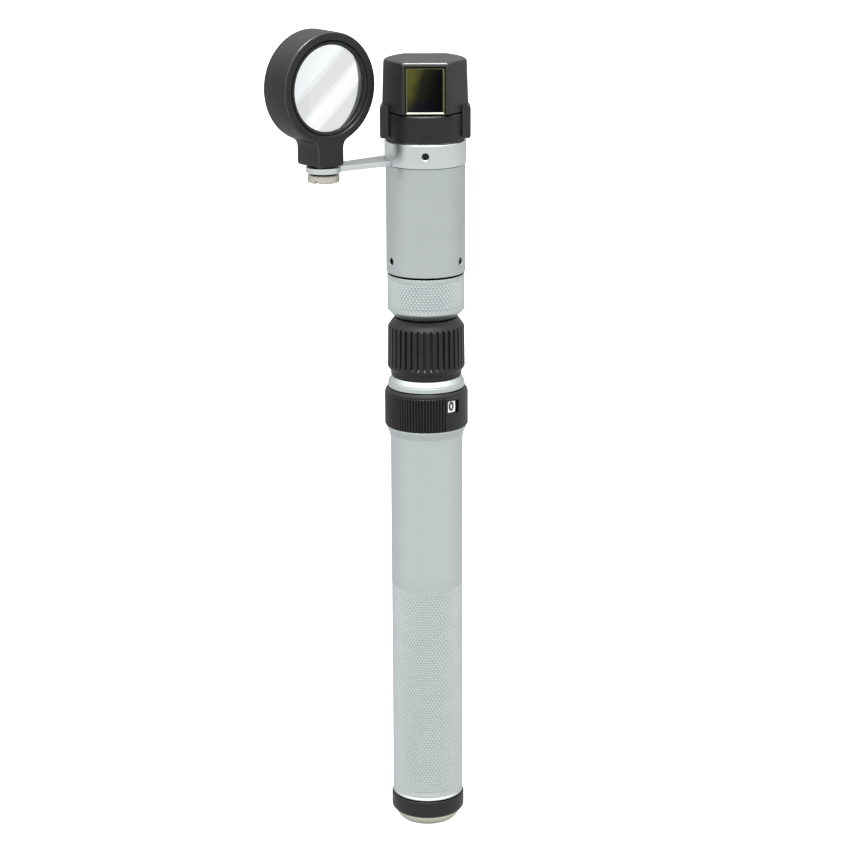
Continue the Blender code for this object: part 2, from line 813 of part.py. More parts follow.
def loupe_frame():
    """The black frame is bored for the lens, flares behind it, and has a hole for the clamp screw."""
    depth = LOUPE_FRONT - LOUPE_BACK
    middle = (LOUPE_FRONT + LOUPE_BACK) / 2
    frame = face_loupe(plate("loupe_frame", loupe_outline(), depth, black_plastic()), middle)
    bore = face_loupe(turned("loupe_bore", [
        (0, LOUPE_FRONT + 1.0),
        (LOUPE_BORE, LOUPE_FRONT + 1.0),
        (LOUPE_BORE, LOUPE_SEAT),
        (LOUPE_LIP_BORE, LOUPE_SEAT),
        (LOUPE_REAR_BORE, LOUPE_BACK),
        (LOUPE_REAR_BORE, LOUPE_BACK - 1.0),
        (0, LOUPE_BACK - 1.0),
    ], black_plastic(), 48))
    combine(frame, bore, "DIFFERENCE")
    hole_top = CLAMP_THREAD_TOP + 0.5
    hole = upright_rod(
        "clamp_hole", CLAMP_HOLE_RADIUS, LOUPE_STEM_BOTTOM - 1.0, hole_top, PIVOT, black_plastic())
    combine(frame, hole, "DIFFERENCE")
    return frame


def loupe_lens():
    """A magnifying lens with shallow faces."""
    return face_loupe(turned("loupe_lens", [
        (0, 3.25), (3.85, 3.15), (7.7, 2.85), (11.6, 2.2),
        (11.6, 0.85), (7.7, 0.15), (3.85, -0.25), (0, -0.4),
    ], optical_glass()))


def loupe_retainer():
    return face_loupe(turned("loupe_retainer", [
        (11.65, 3.25), (11.65, 2.3), (10.9, 2.4), (10.9, 3.15), (11.0, 3.25),
    ], black_plastic()))


def thumbscrew():
    screw = turned("thumbscrew", [
        (0, CLAMP_THREAD_TOP),
        (1.4, CLAMP_THREAD_TOP),
        (1.4, THUMB_TOP),
        (THUMB_RADIUS - 0.2, THUMB_TOP),
        (THUMB_RADIUS, THUMB_TOP - 0.2),
        (THUMB_RADIUS, THUMB_BOTTOM + 0.3),
        (THUMB_RADIUS - 0.3, THUMB_BOTTOM),
        (0, THUMB_BOTTOM),
    ], nickel(), INNER_STEPS)
    screw.location = (PIVOT[0] * MM, PIVOT[1] * MM, 0)
    return screw


def clamp_washer():
    washer = turned("clamp_washer", [
        (3.3, 181.5), (3.3, 181.2), (1.6, 181.2), (1.6, 181.5),
    ], black_plastic(), INNER_STEPS)
    washer.location = (PIVOT[0] * MM, PIVOT[1] * MM, 0)
    return washer


# Filter cap

def cap_outline(scale):
    """The plan of the cap: a front facet, two side facets, and flanks curving to a flat back."""
    rise = FILTER_BACK[1] - FILTER_WIDEST_Y
    narrowing = FILTER_HALF_WIDTH - FILTER_BACK[0]
    centre_x = (FILTER_HALF_WIDTH ** 2 - FILTER_BACK[0] ** 2 - rise ** 2) / (2 * narrowing)
    radius = FILTER_HALF_WIDTH - centre_x
    sweep = math.degrees(math.asin(rise / radius))
    right = [FILTER_FRONT] + arc((centre_x, FILTER_WIDEST_Y), radius, 0.0, sweep, 6)
    left = [(-x, y) for x, y in reversed(right)]
    return [(x * scale, y * scale) for x, y in right + left]


def tapered_plate(name, scale, bottom, top, look):
    """Extrude the cap's plan, a little smaller at the top."""
    piece = plate(name, cap_outline(scale), top - bottom, look)
    for vertex in piece.data.vertices:
        if vertex.co.z > 0:
            vertex.co.x *= FILTER_TAPER
            vertex.co.y *= FILTER_TAPER
    piece.location.z = (bottom + top) / 2 * MM
    return piece


def filter_cap():
    """A shell with a front window that is open below, held by two clip legs."""
    inner_scale = 0.88
    cap = tapered_plate("filter_cap", 1.0, FILTER_BOTTOM, FILTER_TOP, black_plastic())
    for side in (-1, 1):
        leg = block(
            "clip_leg", (CLIP_OUTER_X - CLIP_INNER_X, CLIP_WIDTH, CLIP_TOP - CLIP_BOTTOM),
            (side * (CLIP_INNER_X + CLIP_OUTER_X) / 2, FILTER_WIDEST_Y, (CLIP_BOTTOM + CLIP_TOP) / 2),
            black_plastic())
        combine(cap, leg, "UNION")
    bore = turned("clip_bore", [
        (0, FILTER_BOTTOM),
        (CLIP_BORE, FILTER_BOTTOM),
        (CLIP_BORE, CLIP_BOTTOM - 1.0),
        (0, CLIP_BOTTOM - 1.0),
    ], black_plastic())
    combine(cap, bore, "DIFFERENCE")
    below = FILTER_BOTTOM - 1.0
    hollow = tapered_plate("cap_hollow", inner_scale, below, WINDOW_TOP - GAP, black_plastic())
    combine(cap, hollow, "DIFFERENCE")
    window = block(
        "cap_window", (WINDOW_WIDTH, 3.0, WINDOW_TOP - below),
        (0, FILTER_FRONT[1] + 0.5, (below + WINDOW_TOP) / 2), black_plastic())
    combine(cap, window, "DIFFERENCE")
    return cap


def filter_glass():
    return block(
        "filter_glass", (GLASS_WIDTH, 0.9, GLASS_TOP - GLASS_BOTTOM),
        (0, FILTER_FRONT[1] + 0.85, (GLASS_BOTTOM + GLASS_TOP) / 2), filter_glass_look())


# Assembly

def build_handle():
    handle_tube()
    handle_neck()
    contact_insulator()
    contact_pin()
    battery("battery_lower", CELL_BOTTOM)
    battery("battery_upper", CELL_BOTTOM + CELL_LENGTH + GAP)
    rheostat_track()
    joint_empty("rheostat_axis", (0, 0, RHEOSTAT_BOTTOM), [
        rheostat_ring(), indicator_plate(), rheostat_wiper()])
    seat = joint_empty("base_travel_axis", (0, 0, SPRING_PLATE_TOP), [spring_plate(), battery_spring()])
    joint_empty("base_axis", (0, 0, FOOT_BOTTOM), [base_cap(), foot_ring()], seat)


def build_head():
    pieces = [
        head_tube(), locking_sleeve(), head_plug(), lamp_base(), lamp_bulb(), lamp_filament(),
        slit_carrier(), objective_ring(), prism_housing(), prism_cage(), prism(),
        biconvex("condenser_lens", 6.6, 140.1, 140.9, 1.4),
        biconvex("objective_lens", 8.4, 171.4, 173.0, 1.6),
    ]
    head = joint_empty("head_axis", (0, 0, NECK_TOP), pieces + tube_screws())
    joint_empty("slit_ring_axis", (0, 0, DRIVE_HEIGHT), [slit_ring(), cam_disc()] + drive_pins(), head)
    joint_empty("slit_left_axis", (0, 0, 145.6), [slit_blade("slit_blade_left", -1)], head)
    joint_empty("slit_right_axis", (0, 0, 145.6), [slit_blade("slit_blade_right", 1)], head)
    joint_empty("filter_axis", (0, 0, FILTER_BOTTOM), [filter_cap(), filter_glass()], head)
    return head


def build_loupe(head):
    x, y = PIVOT
    collar = joint_empty("collar_axis", (0, 0, COLLAR_BOTTOM), [
        loupe_collar(), collar_screw(), loupe_arm()], head)
    joint_empty("loupe_axis", (x, y, LOUPE_STEM_BOTTOM), [
        loupe_frame(), loupe_lens(), loupe_retainer()], collar)
    clamp = joint_empty("clamp_travel_axis", (x, y, THUMB_TOP), [clamp_washer()], collar)
    joint_empty("thumbscrew_axis", (x, y, THUMB_BOTTOM), [thumbscrew()], clamp)


def main():
    clear_scene()
    add_collection("slit_lamp")
    add_collection("cutters")
    build_handle()
    build_loupe(build_head())


main()
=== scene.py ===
"""The looks of a hand-held slit lamp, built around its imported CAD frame.

The helpers take millimetres and degrees, and heights and radii come from the frame's own boxes.
An azimuth is in degrees to the right of the front, seen from above.
"""

import json
import math

import bmesh
import bpy
from mathutils import Matrix, Vector


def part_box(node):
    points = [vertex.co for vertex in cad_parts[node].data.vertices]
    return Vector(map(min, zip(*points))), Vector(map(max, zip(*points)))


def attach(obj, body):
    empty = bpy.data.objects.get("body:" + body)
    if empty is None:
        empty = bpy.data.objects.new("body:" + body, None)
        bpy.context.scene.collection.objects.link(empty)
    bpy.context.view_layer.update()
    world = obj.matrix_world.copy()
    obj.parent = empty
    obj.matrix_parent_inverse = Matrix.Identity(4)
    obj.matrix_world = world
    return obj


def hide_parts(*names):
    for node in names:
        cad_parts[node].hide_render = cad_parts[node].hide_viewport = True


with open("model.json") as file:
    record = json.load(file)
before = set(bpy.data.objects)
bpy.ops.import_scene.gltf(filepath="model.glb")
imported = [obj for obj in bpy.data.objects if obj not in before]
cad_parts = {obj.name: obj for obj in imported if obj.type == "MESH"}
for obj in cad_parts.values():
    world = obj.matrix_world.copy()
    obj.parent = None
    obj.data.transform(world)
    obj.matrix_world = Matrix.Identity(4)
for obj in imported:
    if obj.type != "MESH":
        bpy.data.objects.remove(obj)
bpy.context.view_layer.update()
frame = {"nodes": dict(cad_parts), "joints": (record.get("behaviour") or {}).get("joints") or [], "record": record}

MM = 0.001
SMOOTH_STEPS = 96
FINE_STEPS = 144

# Camera, aimed at the middle of the object: metres and degrees, and its lens in millimetres
CAMERA_DISTANCE = 0.721
CAMERA_ELEVATION = 15.9
CAMERA_LENS = 115.6
CAMERA_ROLL = -0.24
CAMERA_AIM = (-0.0004, 0.0, 0.1113)

# Studio: grey levels round the object, by azimuth, and from straight down (-1) to straight up (1)
ROUND_LEVELS = [
    (-180, 0.62), (-136, 0.74), (-109, 0.80), (-85, 0.88), (-60, 0.95), (-13, 0.92), (15, 0.94),
    (41, 0.93), (71, 0.93), (88, 0.88), (109, 0.82), (136, 0.76), (180, 0.62)]
HEIGHT_LEVELS = [
    (-1.0, 0.75), (-0.75, 0.85), (-0.5, 1.02), (-0.36, 1.10), (-0.22, 0.97), (-0.1, 0.93), (0.0, 0.95),
    (0.3, 1.0), (0.5, 1.5), (0.7, 2.2), (0.95, 2.2), (1.0, 1.2)]
BACKDROP = (1.1, 1.1, 1.1, 1.0)

# Softbox: metres and watts
SOFTBOX_PLACE = (0.0, -0.20, 0.97)
SOFTBOX_TARGET = (0.0, 0.0, 0.2)
SOFTBOX_SIZE = (0.5, 0.2)
SOFTBOX_POWER = 8.0

GLASS_IOR = 1.5
DIAL_AZIMUTH = 40.5
SCREW_AZIMUTHS = (-60.0, 60.0, 180.0)

KNURL_PITCH = 0.72
KNURL_DEPTH = 0.28
KNURL_COLUMNS = 124

# Loupe: a turn to the right of the front, places in front of its pivot, and radii of its bore
LOUPE_TURN = 39.0
LOUPE_FRONT = 3.45
LOUPE_BACK = -5.75
LOUPE_SEAT = 0.65
LOUPE_REAR_BORE = 13.1
LOUPE_LIP_BORE = 11.3
LOUPE_LENS_BORE = 11.88
LOUPE_MOUTH = 12.15
LOUPE_STEM_HALF = 4.05

# Arm: its eye round the pivot and its root on the collar, by the angles where its long sides meet them
ARM_EYE_RADIUS = 4.45
ARM_EYE_ANGLES = (80.0, 358.0)
ARM_ROOT_ANGLES = (214.0, 163.4)
ARM_EDGE = 0.3


# Places read from the frame

def heights(node):
    """Give a node's lowest and highest point, in millimetres."""
    low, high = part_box(node)
    return low[2] / MM, high[2] / MM


def half_width(node):
    """Give half of a node's width along X, in millimetres."""
    low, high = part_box(node)
    return (high[0] - low[0]) / 2 / MM


def centre(node):
    """Give the middle of a node's box, in millimetres."""
    low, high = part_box(node)
    return [(a + b) / 2 / MM for a, b in zip(low, high)]


def joint(name):
    """Give one joint of the frame by its name."""
    return next(item for item in frame["joints"] if item["name"] == name)


LOUPE_PIVOT = [value / MM for value in joint("loupe_swivel")["pos_m"][:2]]
LOUPE_CENTRE_HEIGHT = centre("loupe_lens")[2]


# Shader helpers

def new_material(name):
    """Start a node material and give it with its Principled shader."""
    material = bpy.data.materials.new(name)
    material.use_nodes = True
    return material, material.node_tree.nodes["Principled BSDF"]


def coordinate(tree, kind="Object"):
    """Give a kind of texture coordinate."""
    return tree.nodes.new("ShaderNodeTexCoord").outputs[kind]


def split_axes(tree, source):
    """Give the X, Y and Z outputs of a vector."""
    split = tree.nodes.new("ShaderNodeSeparateXYZ")
    tree.links.new(source, split.inputs["Vector"])
    return split.outputs


def feed(tree, socket, value):
    """Give a socket a value, or link another node's output to it."""
    if isinstance(value, bpy.types.NodeSocket):
        tree.links.new(value, socket)
    else:
        socket.default_value = value


def calculate(tree, operation, *values):
    """Add a math node, fed by numbers and other nodes' outputs."""
    node = tree.nodes.new("ShaderNodeMath")
    node.operation = operation
    for socket, value in zip(node.inputs, values):
        feed(tree, socket, value)
    return node.outputs["Value"]


def map_range(tree, source, low, high, to_low=0.0, to_high=1.0):
    """Map one range of a value to another, clamped at both ends."""
    node = tree.nodes.new("ShaderNodeMapRange")
    node.inputs["From Min"].default_value = low
    node.inputs["From Max"].default_value = high
    node.inputs["To Min"].default_value = to_low
    node.inputs["To Max"].default_value = to_high
    tree.links.new(source, node.inputs["Value"])
    return node.outputs["Result"]


def object_noise(material, scale, detail=3.0, roughness=0.5):
    """Give a noise that is fixed to the object, with its scale per metre."""
    tree = material.node_tree
    noise = tree.nodes.new("ShaderNodeTexNoise")
    noise.inputs["Scale"].default_value = scale
    noise.inputs["Detail"].default_value = detail
    noise.inputs["Roughness"].default_value = roughness
    tree.links.new(coordinate(tree), noise.inputs["Vector"])
    return noise.outputs["Fac"]


def ramp(tree, source, stops):
    """Colour a value by (position, colour) stops."""
    node = tree.nodes.new("ShaderNodeValToRGB")
    elements = node.color_ramp.elements
    while len(elements) < len(stops):
        elements.new(0.5)
    for element, (position, colour) in zip(elements, stops):
        element.position = position
        element.color = (*colour, 1.0)
    tree.links.new(source, node.inputs["Fac"])
    return node.outputs["Color"]


def mix_colours(tree, factor, first, second, blend="MIX"):
    """Blend two colours."""
    mix = tree.nodes.new("ShaderNodeMix")
    mix.data_type = "RGBA"
    mix.blend_type = blend
    for name, value in (("Factor", factor), ("A", first), ("B", second)):
        feed(tree, mix.inputs[name], value)
    return mix.outputs["Result"]


def vary_roughness(material, shader, noise, low, high):
    """Let a noise move the roughness between two limits."""
    tree = material.node_tree
    tree.links.new(map_range(tree, noise, 0.3, 0.7, low, high), shader.inputs["Roughness"])


def add_bump(material, shader, source, depth):
    """Add a bump of the given depth in metres."""
    bump = material.node_tree.nodes.new("ShaderNodeBump")
    bump.inputs["Strength"].default_value = 1.0
    bump.inputs["Distance"].default_value = depth
    material.node_tree.links.new(source, bump.inputs["Height"])
    material.node_tree.links.new(bump.outputs["Normal"], shader.inputs["Normal"])


def shade(colour, factor):
    """Scale a colour."""
    return tuple(channel * factor for channel in colour)


def metal(name, colour, low, high, grain_scale, grain_depth, spread=0.05):
    """A metal whose tone and roughness drift, with a fine grain."""
    material, shader = new_material(name)
    shader.inputs["Metallic"].default_value = 1.0
    drift = object_noise(material, 160.0, 4.0)
    grain = object_noise(material, grain_scale, 2.0, 0.7)
    tone = ramp(material.node_tree, drift, [
        (0.3, shade(colour, 1.0 - spread)), (0.7, shade(colour, 1.0 + spread))])
    material.node_tree.links.new(tone, shader.inputs["Base Color"])
    vary_roughness(material, shader, drift, low, high)
    add_bump(material, shader, grain, grain_depth)
    return material


def plastic(name, colour, low, high, specular=0.5):
    """A moulded plastic with a fine spark-eroded texture."""
    material, shader = new_material(name)
    shader.inputs["Specular IOR Level"].default_value = specular
    drift = object_noise(material, 220.0, 4.0)
    grain = object_noise(material, 4200.0, 2.0, 0.6)
    tone = ramp(material.node_tree, drift, [(0.3, shade(colour, 0.85)), (0.7, shade(colour, 1.2))])
    material.node_tree.links.new(tone, shader.inputs["Base Color"])
    vary_roughness(material, shader, drift, low, high)
    add_bump(material, shader, grain, 0.000018)
    return material


def clear_glass(name, colour):
    """A polished clear glass with faint wipe marks in its gloss."""
    material, shader = new_material(name)
    shader.inputs["Base Color"].default_value = (*colour, 1.0)
    shader.inputs["Transmission Weight"].default_value = 1.0
    shader.inputs["IOR"].default_value = GLASS_IOR
    vary_roughness(material, shader, object_noise(material, 300.0, 5.0), 0.0, 0.03)
    return material


# Materials

def lens_look():
    """The loupe's glass, with soft slanting bands of painted reflection in its colour."""
    material, shader = new_material("loupe_lens_glass")
    tree = material.node_tree
    shader.inputs["Transmission Weight"].default_value = 1.0
    shader.inputs["IOR"].default_value = GLASS_IOR
    shader.inputs["Roughness"].default_value = 0.0
    turn = math.radians(LOUPE_TURN)
    lean = math.radians(40.0)
    slant = Vector((-math.sin(lean) * math.cos(turn), -math.sin(lean) * math.sin(turn), math.cos(lean)))
    across = tree.nodes.new("ShaderNodeVectorMath")
    across.operation = "DOT_PRODUCT"
    tree.links.new(coordinate(tree), across.inputs[0])
    across.inputs[1].default_value = slant
    middle = slant.dot(Vector((*LOUPE_PIVOT, LOUPE_CENTRE_HEIGHT)) * MM)
    reach = 11.5 * MM
    share = map_range(tree, across.outputs["Value"], middle - reach, middle + reach)
    # The clear tint is the glass; the grey and blue bands are painted reflections fixed to the lens.
    clear = (0.945, 0.955, 0.95)
    blue = (0.86, 0.90, 0.90)
    grey = (0.69, 0.71, 0.705)
    bands = ramp(tree, share, [
        (0.00, grey), (0.235, grey), (0.255, clear), (0.293, clear), (0.307, grey), (0.320, clear),
        (0.430, clear), (0.460, grey), (0.655, grey), (0.680, blue), (1.00, blue)])
    tree.links.new(bands, shader.inputs["Base Color"])
    return material


def filter_look():
    """The filter glass's colour runs from olive at one top corner to black and, below, a dark violet; the olive
    and the violet are painted reflection.
    """
    material, shader = new_material("filter_painted_reflection")
    tree = material.node_tree
    shader.inputs["Specular IOR Level"].default_value = 0.03
    bottom, top = heights("filter_glass")
    half = half_width("filter_glass")
    axes = split_axes(tree, coordinate(tree))
    across = map_range(tree, axes["X"], -half * MM, half * MM)
    up = map_range(tree, axes["Z"], bottom * MM, top * MM)
    lean = calculate(tree, "MULTIPLY_ADD", up, -0.35, across)
    cloud = object_noise(material, 260.0, 2.0)
    blur = calculate(tree, "MULTIPLY_ADD", cloud, 0.25, lean)
    # Painted reflection: olive at one top corner and dark violet below, on the black glass.
    olive = ramp(tree, blur, [
        (0.00, (0.060, 0.062, 0.014)), (0.15, (0.042, 0.044, 0.012)), (0.32, (0.010, 0.011, 0.006)),
        (0.70, (0.002, 0.002, 0.002)), (1.00, (0.001, 0.001, 0.001))])
    low = ramp(tree, up, [
        (0.00, (1.0, 1.0, 1.0)), (0.12, (0.7, 0.7, 0.7)), (0.40, (0.0, 0.0, 0.0))])
    violet = ramp(tree, across, [
        (0.00, (0.007, 0.006, 0.015)), (0.60, (0.003, 0.003, 0.006)), (1.00, (0.001, 0.001, 0.002))])
    tree.links.new(mix_colours(tree, low, olive, violet), shader.inputs["Base Color"])
    vary_roughness(material, shader, cloud, 0.04, 0.08)
    return material


def ground_edge_look(name, dark, light, glow):
    """A ground rim of the filter glass, grainy in tone, which can glow a little as a painted highlight."""
    material, shader = new_material(name)
    shader.inputs["Roughness"].default_value = 0.45
    shader.inputs["Specular IOR Level"].default_value = 0.1
    grain = object_noise(material, 2600.0, 3.0)
    tone = ramp(material.node_tree, grain, [(0.3, dark), (0.7, light)])
    material.node_tree.links.new(tone, shader.inputs["Base Color"])
    # Painted glow: the rim emits its own tone.
    material.node_tree.links.new(tone, shader.inputs["Emission Color"])
    shader.inputs["Emission Strength"].default_value = glow
    add_bump(material, shader, grain, 0.00001)
    return material


def cell_look():
    """A printed film around the cell, with a darker band near its top and a bare shoulder."""
    material, shader = new_material("cell_film")
    tree = material.node_tree
    shader.inputs["Coat Weight"].default_value = 0.4
    first = heights("battery_lower")[0]
    pitch = 50.7
    height = split_axes(tree, coordinate(tree))["Z"]
    cycle = calculate(tree, "MULTIPLY_ADD", height, 1 / (pitch * MM), -first / pitch)
    film = ramp(tree, calculate(tree, "FRACT", cycle), [
        (0.0, (0.55, 0.55, 0.55)), (0.02, (0.05, 0.13, 0.24)), (0.70, (0.05, 0.13, 0.24)),
        (0.705, (0.62, 0.50, 0.22)), (0.955, (0.62, 0.50, 0.22)), (0.965, (0.6, 0.6, 0.6))])
    tree.links.new(film, shader.inputs["Base Color"])
    vary_roughness(material, shader, object_noise(material, 500.0), 0.22, 0.36)
    return material


# A metal's colour, its lowest and highest roughness, its grain's scale and depth, and its tone's spread
LOOKS = {
    "satin_silver": metal("satin_anodised", (0.575, 0.625, 0.622), 0.30, 0.36, 9000.0, 0.000005, 0.02),
    "black_plastic": plastic("satin_black_plastic", (0.0075, 0.0080, 0.0075), 0.36, 0.46, specular=0.37),
    "nickel": metal("satin_nickel", (0.66, 0.645, 0.56), 0.24, 0.34, 6000.0, 0.000006, 0.09),
    "brass": metal("turned_brass", (0.72, 0.50, 0.22), 0.24, 0.36, 5000.0, 0.000006, 0.09),
    "spring_steel": metal("bright_steel", (0.50, 0.51, 0.52), 0.20, 0.32, 6000.0, 0.000005, 0.08),
    "optical_glass": clear_glass("optical_glass", (0.98, 0.99, 0.99)),
    "filter_glass": filter_look(),
    "cell_jacket": cell_look(),
    "white_plate": plastic("white_plate", (0.98, 0.98, 0.97), 0.45, 0.55),
}
LENS = lens_look()
GROUND_EDGE = ground_edge_look("ground_edge_olive", (0.11, 0.12, 0.045), (0.15, 0.16, 0.075), 0.0)
# Near white and glowing: a painted highlight for the pane's bottom rim.
PAINTED_GLOW_EDGE = ground_edge_look("ground_edge_painted_glow", (0.92, 0.92, 0.74), (1.0, 1.0, 0.86), 0.6)
BLACK_OXIDE = metal("black_oxide", (0.030, 0.030, 0.032), 0.22, 0.34, 6000.0, 0.000005, 0.08)
CAP_PLASTIC = plastic("cap_plastic", (0.014, 0.015, 0.014), 0.40, 0.50, specular=0.38)
# A lighter, glossier black: a painted highlight for bevels that face the light.
PAINTED_HIGHLIGHT_EDGE = plastic("painted_highlight_edge", (0.06, 0.06, 0.055), 0.16, 0.24, specular=1.0)
GLOSS_EDGE = plastic("gloss_edge", (0.012, 0.012, 0.012), 0.20, 0.28, specular=0.8)
# Near black and matte: painted shade for the gaps between parts.
PAINTED_GAP_SHADE = plastic("painted_gap_shade", (0.003, 0.003, 0.003), 0.60, 0.75, specular=0.05)
# A lighter copy of the satin anodising, for the collar and the arm's sides: painted light.
SATIN_PAINTED_LIGHTER = metal("anodised_lighter_painted_light", (0.66, 0.70, 0.70), 0.28, 0.34, 9000.0, 0.000005, 0.02)
# A darker copy of the satin anodising, for the head barrel: painted shade.
SATIN_PAINTED_DARKER = metal("anodised_darker_painted_shade", (0.53, 0.575, 0.572), 0.30, 0.36, 9000.0, 0.000005, 0.02)
# A lighter copy of the satin anodising for the knurled faces: painted light against the knurl's shade.
KNURL_PAINTED_LIGHT = metal("knurl_anodised_painted_light", (0.63, 0.675, 0.672), 0.30, 0.36, 9000.0, 0.000005, 0.02)
# A darker copy of the anodising for the arm's top face: painted shade.
ARM_TOP_PAINTED_SHADE = metal("arm_top_painted_shade", (0.40, 0.43, 0.43), 0.30, 0.38, 7000.0, 0.000005, 0.05)
WARM_SATIN = metal("warm_satin", (0.55, 0.555, 0.47), 0.28, 0.36, 8000.0, 0.000005, 0.03)
DIAL_INK = plastic("dial_ink", (0.012, 0.012, 0.014), 0.45, 0.6)


# Mesh helpers

def add_object(name, data):
    """Put data into the scene as an object."""
    item = bpy.data.objects.new(name, data)
    bpy.context.scene.collection.objects.link(item)
    return item


def soften(points, radius=0.15, steps=3, closed=True):
    """Round each corner of a profile. A point's third value is its own radius."""
    count = len(points)
    result = []
    for index, point in enumerate(points):
        here = Vector(point[:2])
        own = point[2] if len(point) > 2 else radius
        if own == 0 or (not closed and index in (0, count - 1)):
            result.append(tuple(here))
            continue
        before = Vector(points[index - 1][:2]) - here
        after = Vector(points[(index + 1) % count][:2]) - here
        start = here + before.normalized() * min(own, before.length * 0.49)
        end = here + after.normalized() * min(own, after.length * 0.49)
        for step in range(steps + 1):
            share = step / steps
            result.append(tuple(start * (1 - share) ** 2 + here * 2 * share * (1 - share) + end * share ** 2))
    return result


def even_angles(count):
    """List equal angles round a circle, in degrees."""
    return [360.0 * step / count for step in range(count)]


def finish_mesh(name, shape, look, sharp=35.0, flat_faces=()):
    """Turn a bmesh in millimetres into a shaded object."""
    for face in shape.faces:
        face.smooth = True
    for face in flat_faces:
        face.smooth = False
    bmesh.ops.remove_doubles(shape, verts=shape.verts, dist=0.0005)
    bmesh.ops.recalc_face_normals(shape, faces=shape.faces)
    bmesh.ops.scale(shape, vec=(MM, MM, MM), verts=shape.verts)
    mesh = bpy.data.meshes.new(name)
    shape.to_mesh(mesh)
    shape.free()
    mesh.set_sharp_from_angle(angle=math.radians(sharp))
    mesh.materials.append(look)
    return add_object(name, mesh)


def lathe(name, rows, look, angles=None, radius_at=None, knurl=None, sharp=35.0):
    """Turn (radius, height) rows about Z. They run down the outer side.

    radius_at(radius, height, angle) may change a radius. knurl gives the lowest and highest
    row of a diamond knurl and its depth: crossings of the grooves alternate with points.
    """
    angles = angles or even_angles(SMOOTH_STEPS)
    columns = len(angles)
    shape = bmesh.new()
    grid = []
    for row, (radius, height) in enumerate(rows):
        line = []
        for column, angle in enumerate(angles):
            reach = radius_at(radius, height, angle) if radius_at else radius
            if knurl and knurl[0] < row < knurl[1] and (row + column) % 2 == 0:
                reach -= knurl[2]
            turn = math.radians(angle)
            line.append(shape.verts.new((reach * math.cos(turn), reach * math.sin(turn), height)))
        grid.append(line)
    flat_faces = []
    hollow = rows[0][0] > 0
    for row in range(len(rows) if hollow else len(rows) - 1):
        upper = grid[row]
        lower = grid[(row + 1) % len(rows)]
        for column in range(columns):
            beside = (column + 1) % columns
            a, b, c, d = upper[column], lower[column], lower[beside], upper[beside]
            if knurl and knurl[0] <= row < knurl[1]:
                even = (row + column) % 2 == 0
                triangles = [(a, b, c), (a, c, d)] if even else [(a, b, d), (b, c, d)]
                flat_faces += [shape.faces.new(corners) for corners in triangles]
            else:
                shape.faces.new((a, b, c, d))
    return finish_mesh(name, shape, look, sharp, flat_faces)


def close_rows(start, end, pitch):
    """List even heights from one down to another."""
    count = round((start - end) / pitch)
    return [start - (start - end) * step / count for step in range(count + 1)]


def extrude(name, outline, bottom, top, look, bevel):
    """Extrude an outline between two heights, with rounded rims."""
    shape = bmesh.new()
    profile = soften([(bevel, bottom), (0.0, bottom), (0.0, top), (bevel, top)], bevel, 3, False)
    loops = [
        [shape.verts.new((x, y, height)) for x, y in inset_outline(outline, inset)]
        for inset, height in profile]
    bridge(shape, loops)
    shape.faces.new(loops[0])
    shape.faces.new(loops[-1])
    return finish_mesh(name, shape, look)


def inset_outline(outline, distance):
    """Move a closed outline inwards by a distance. It runs counter-clockwise."""
    count = len(outline)
    result = []
    for index in range(count):
        before = Vector(outline[index - 1])
        here = Vector(outline[index])
        after = Vector(outline[(index + 1) % count])
        first = (here - before).normalized()
        second = (after - here).normalized()
        normal = Vector((-first.y - second.y, first.x + second.x))
        normal.normalize()
        stretch = max(0.5, normal.dot(Vector((-first.y, first.x))))
        result.append(tuple(here + normal * distance / stretch))
    return result


def bridge(shape, loops):
    """Join each loop of points to the next one."""
    for lower, upper in zip(loops, loops[1:]):
        count = len(lower)
        for index in range(count):
            beside = (index + 1) % count
            shape.faces.new((lower[index], lower[beside], upper[beside], upper[index]))


def arc(middle, radius, start, end, steps):
    """List the points of an arc, from one angle in degrees to another."""
    points = []
    for step in range(steps + 1):
        angle = math.radians(start + (end - start) * step / steps)
        points.append((middle[0] + radius * math.cos(angle), middle[1] + radius * math.sin(angle)))
    return points


def combine(piece, other, operation="DIFFERENCE"):
    """Cut another object out of a piece, or join the two. The other object is then removed."""
    modifier = piece.modifiers.new("Shape", "BOOLEAN")
    modifier.operation = operation
    modifier.solver = "EXACT"
    modifier.object = other
    graph = bpy.context.evaluated_depsgraph_get()
    mesh = bpy.data.meshes.new_from_object(piece.evaluated_get(graph))
    piece.modifiers.clear()
    piece.data = mesh
    bpy.data.objects.remove(other)


def point_outwards(piece, azimuth, height, radius=0.0):
    """Turn a piece made along Z to point away from the axis on an azimuth."""
    angle = math.radians(azimuth)
    place = Vector((radius * math.sin(angle), -radius * math.cos(angle), height)) * MM
    turn = Matrix.Rotation(angle, 4, "Z") @ Matrix.Rotation(math.radians(90), 4, "X")
    piece.data.transform(Matrix.Translation(place) @ turn)


def recolour(piece, look, chosen):
    """Give a look to the faces that pass a test of their middle, in millimetres, and their normal."""
    piece.data.materials.append(look)
    slot = len(piece.data.materials) - 1
    for face in piece.data.polygons:
        if chosen(face.center / MM, face.normal):
            face.material_index = slot


def sharpen(piece, angle=35.0):
    """Mark a piece's sharp edges again after a cut."""
    piece.data.set_sharp_from_angle(angle=math.radians(angle))


def belongs(piece, body, slot, *nodes):
    """Say which body a piece rides on, and hide the CAD nodes it stands for. Its finish, slot, is not used."""
    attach(piece, body)
    if nodes:
        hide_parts(*nodes)
    return piece


# Battery handle

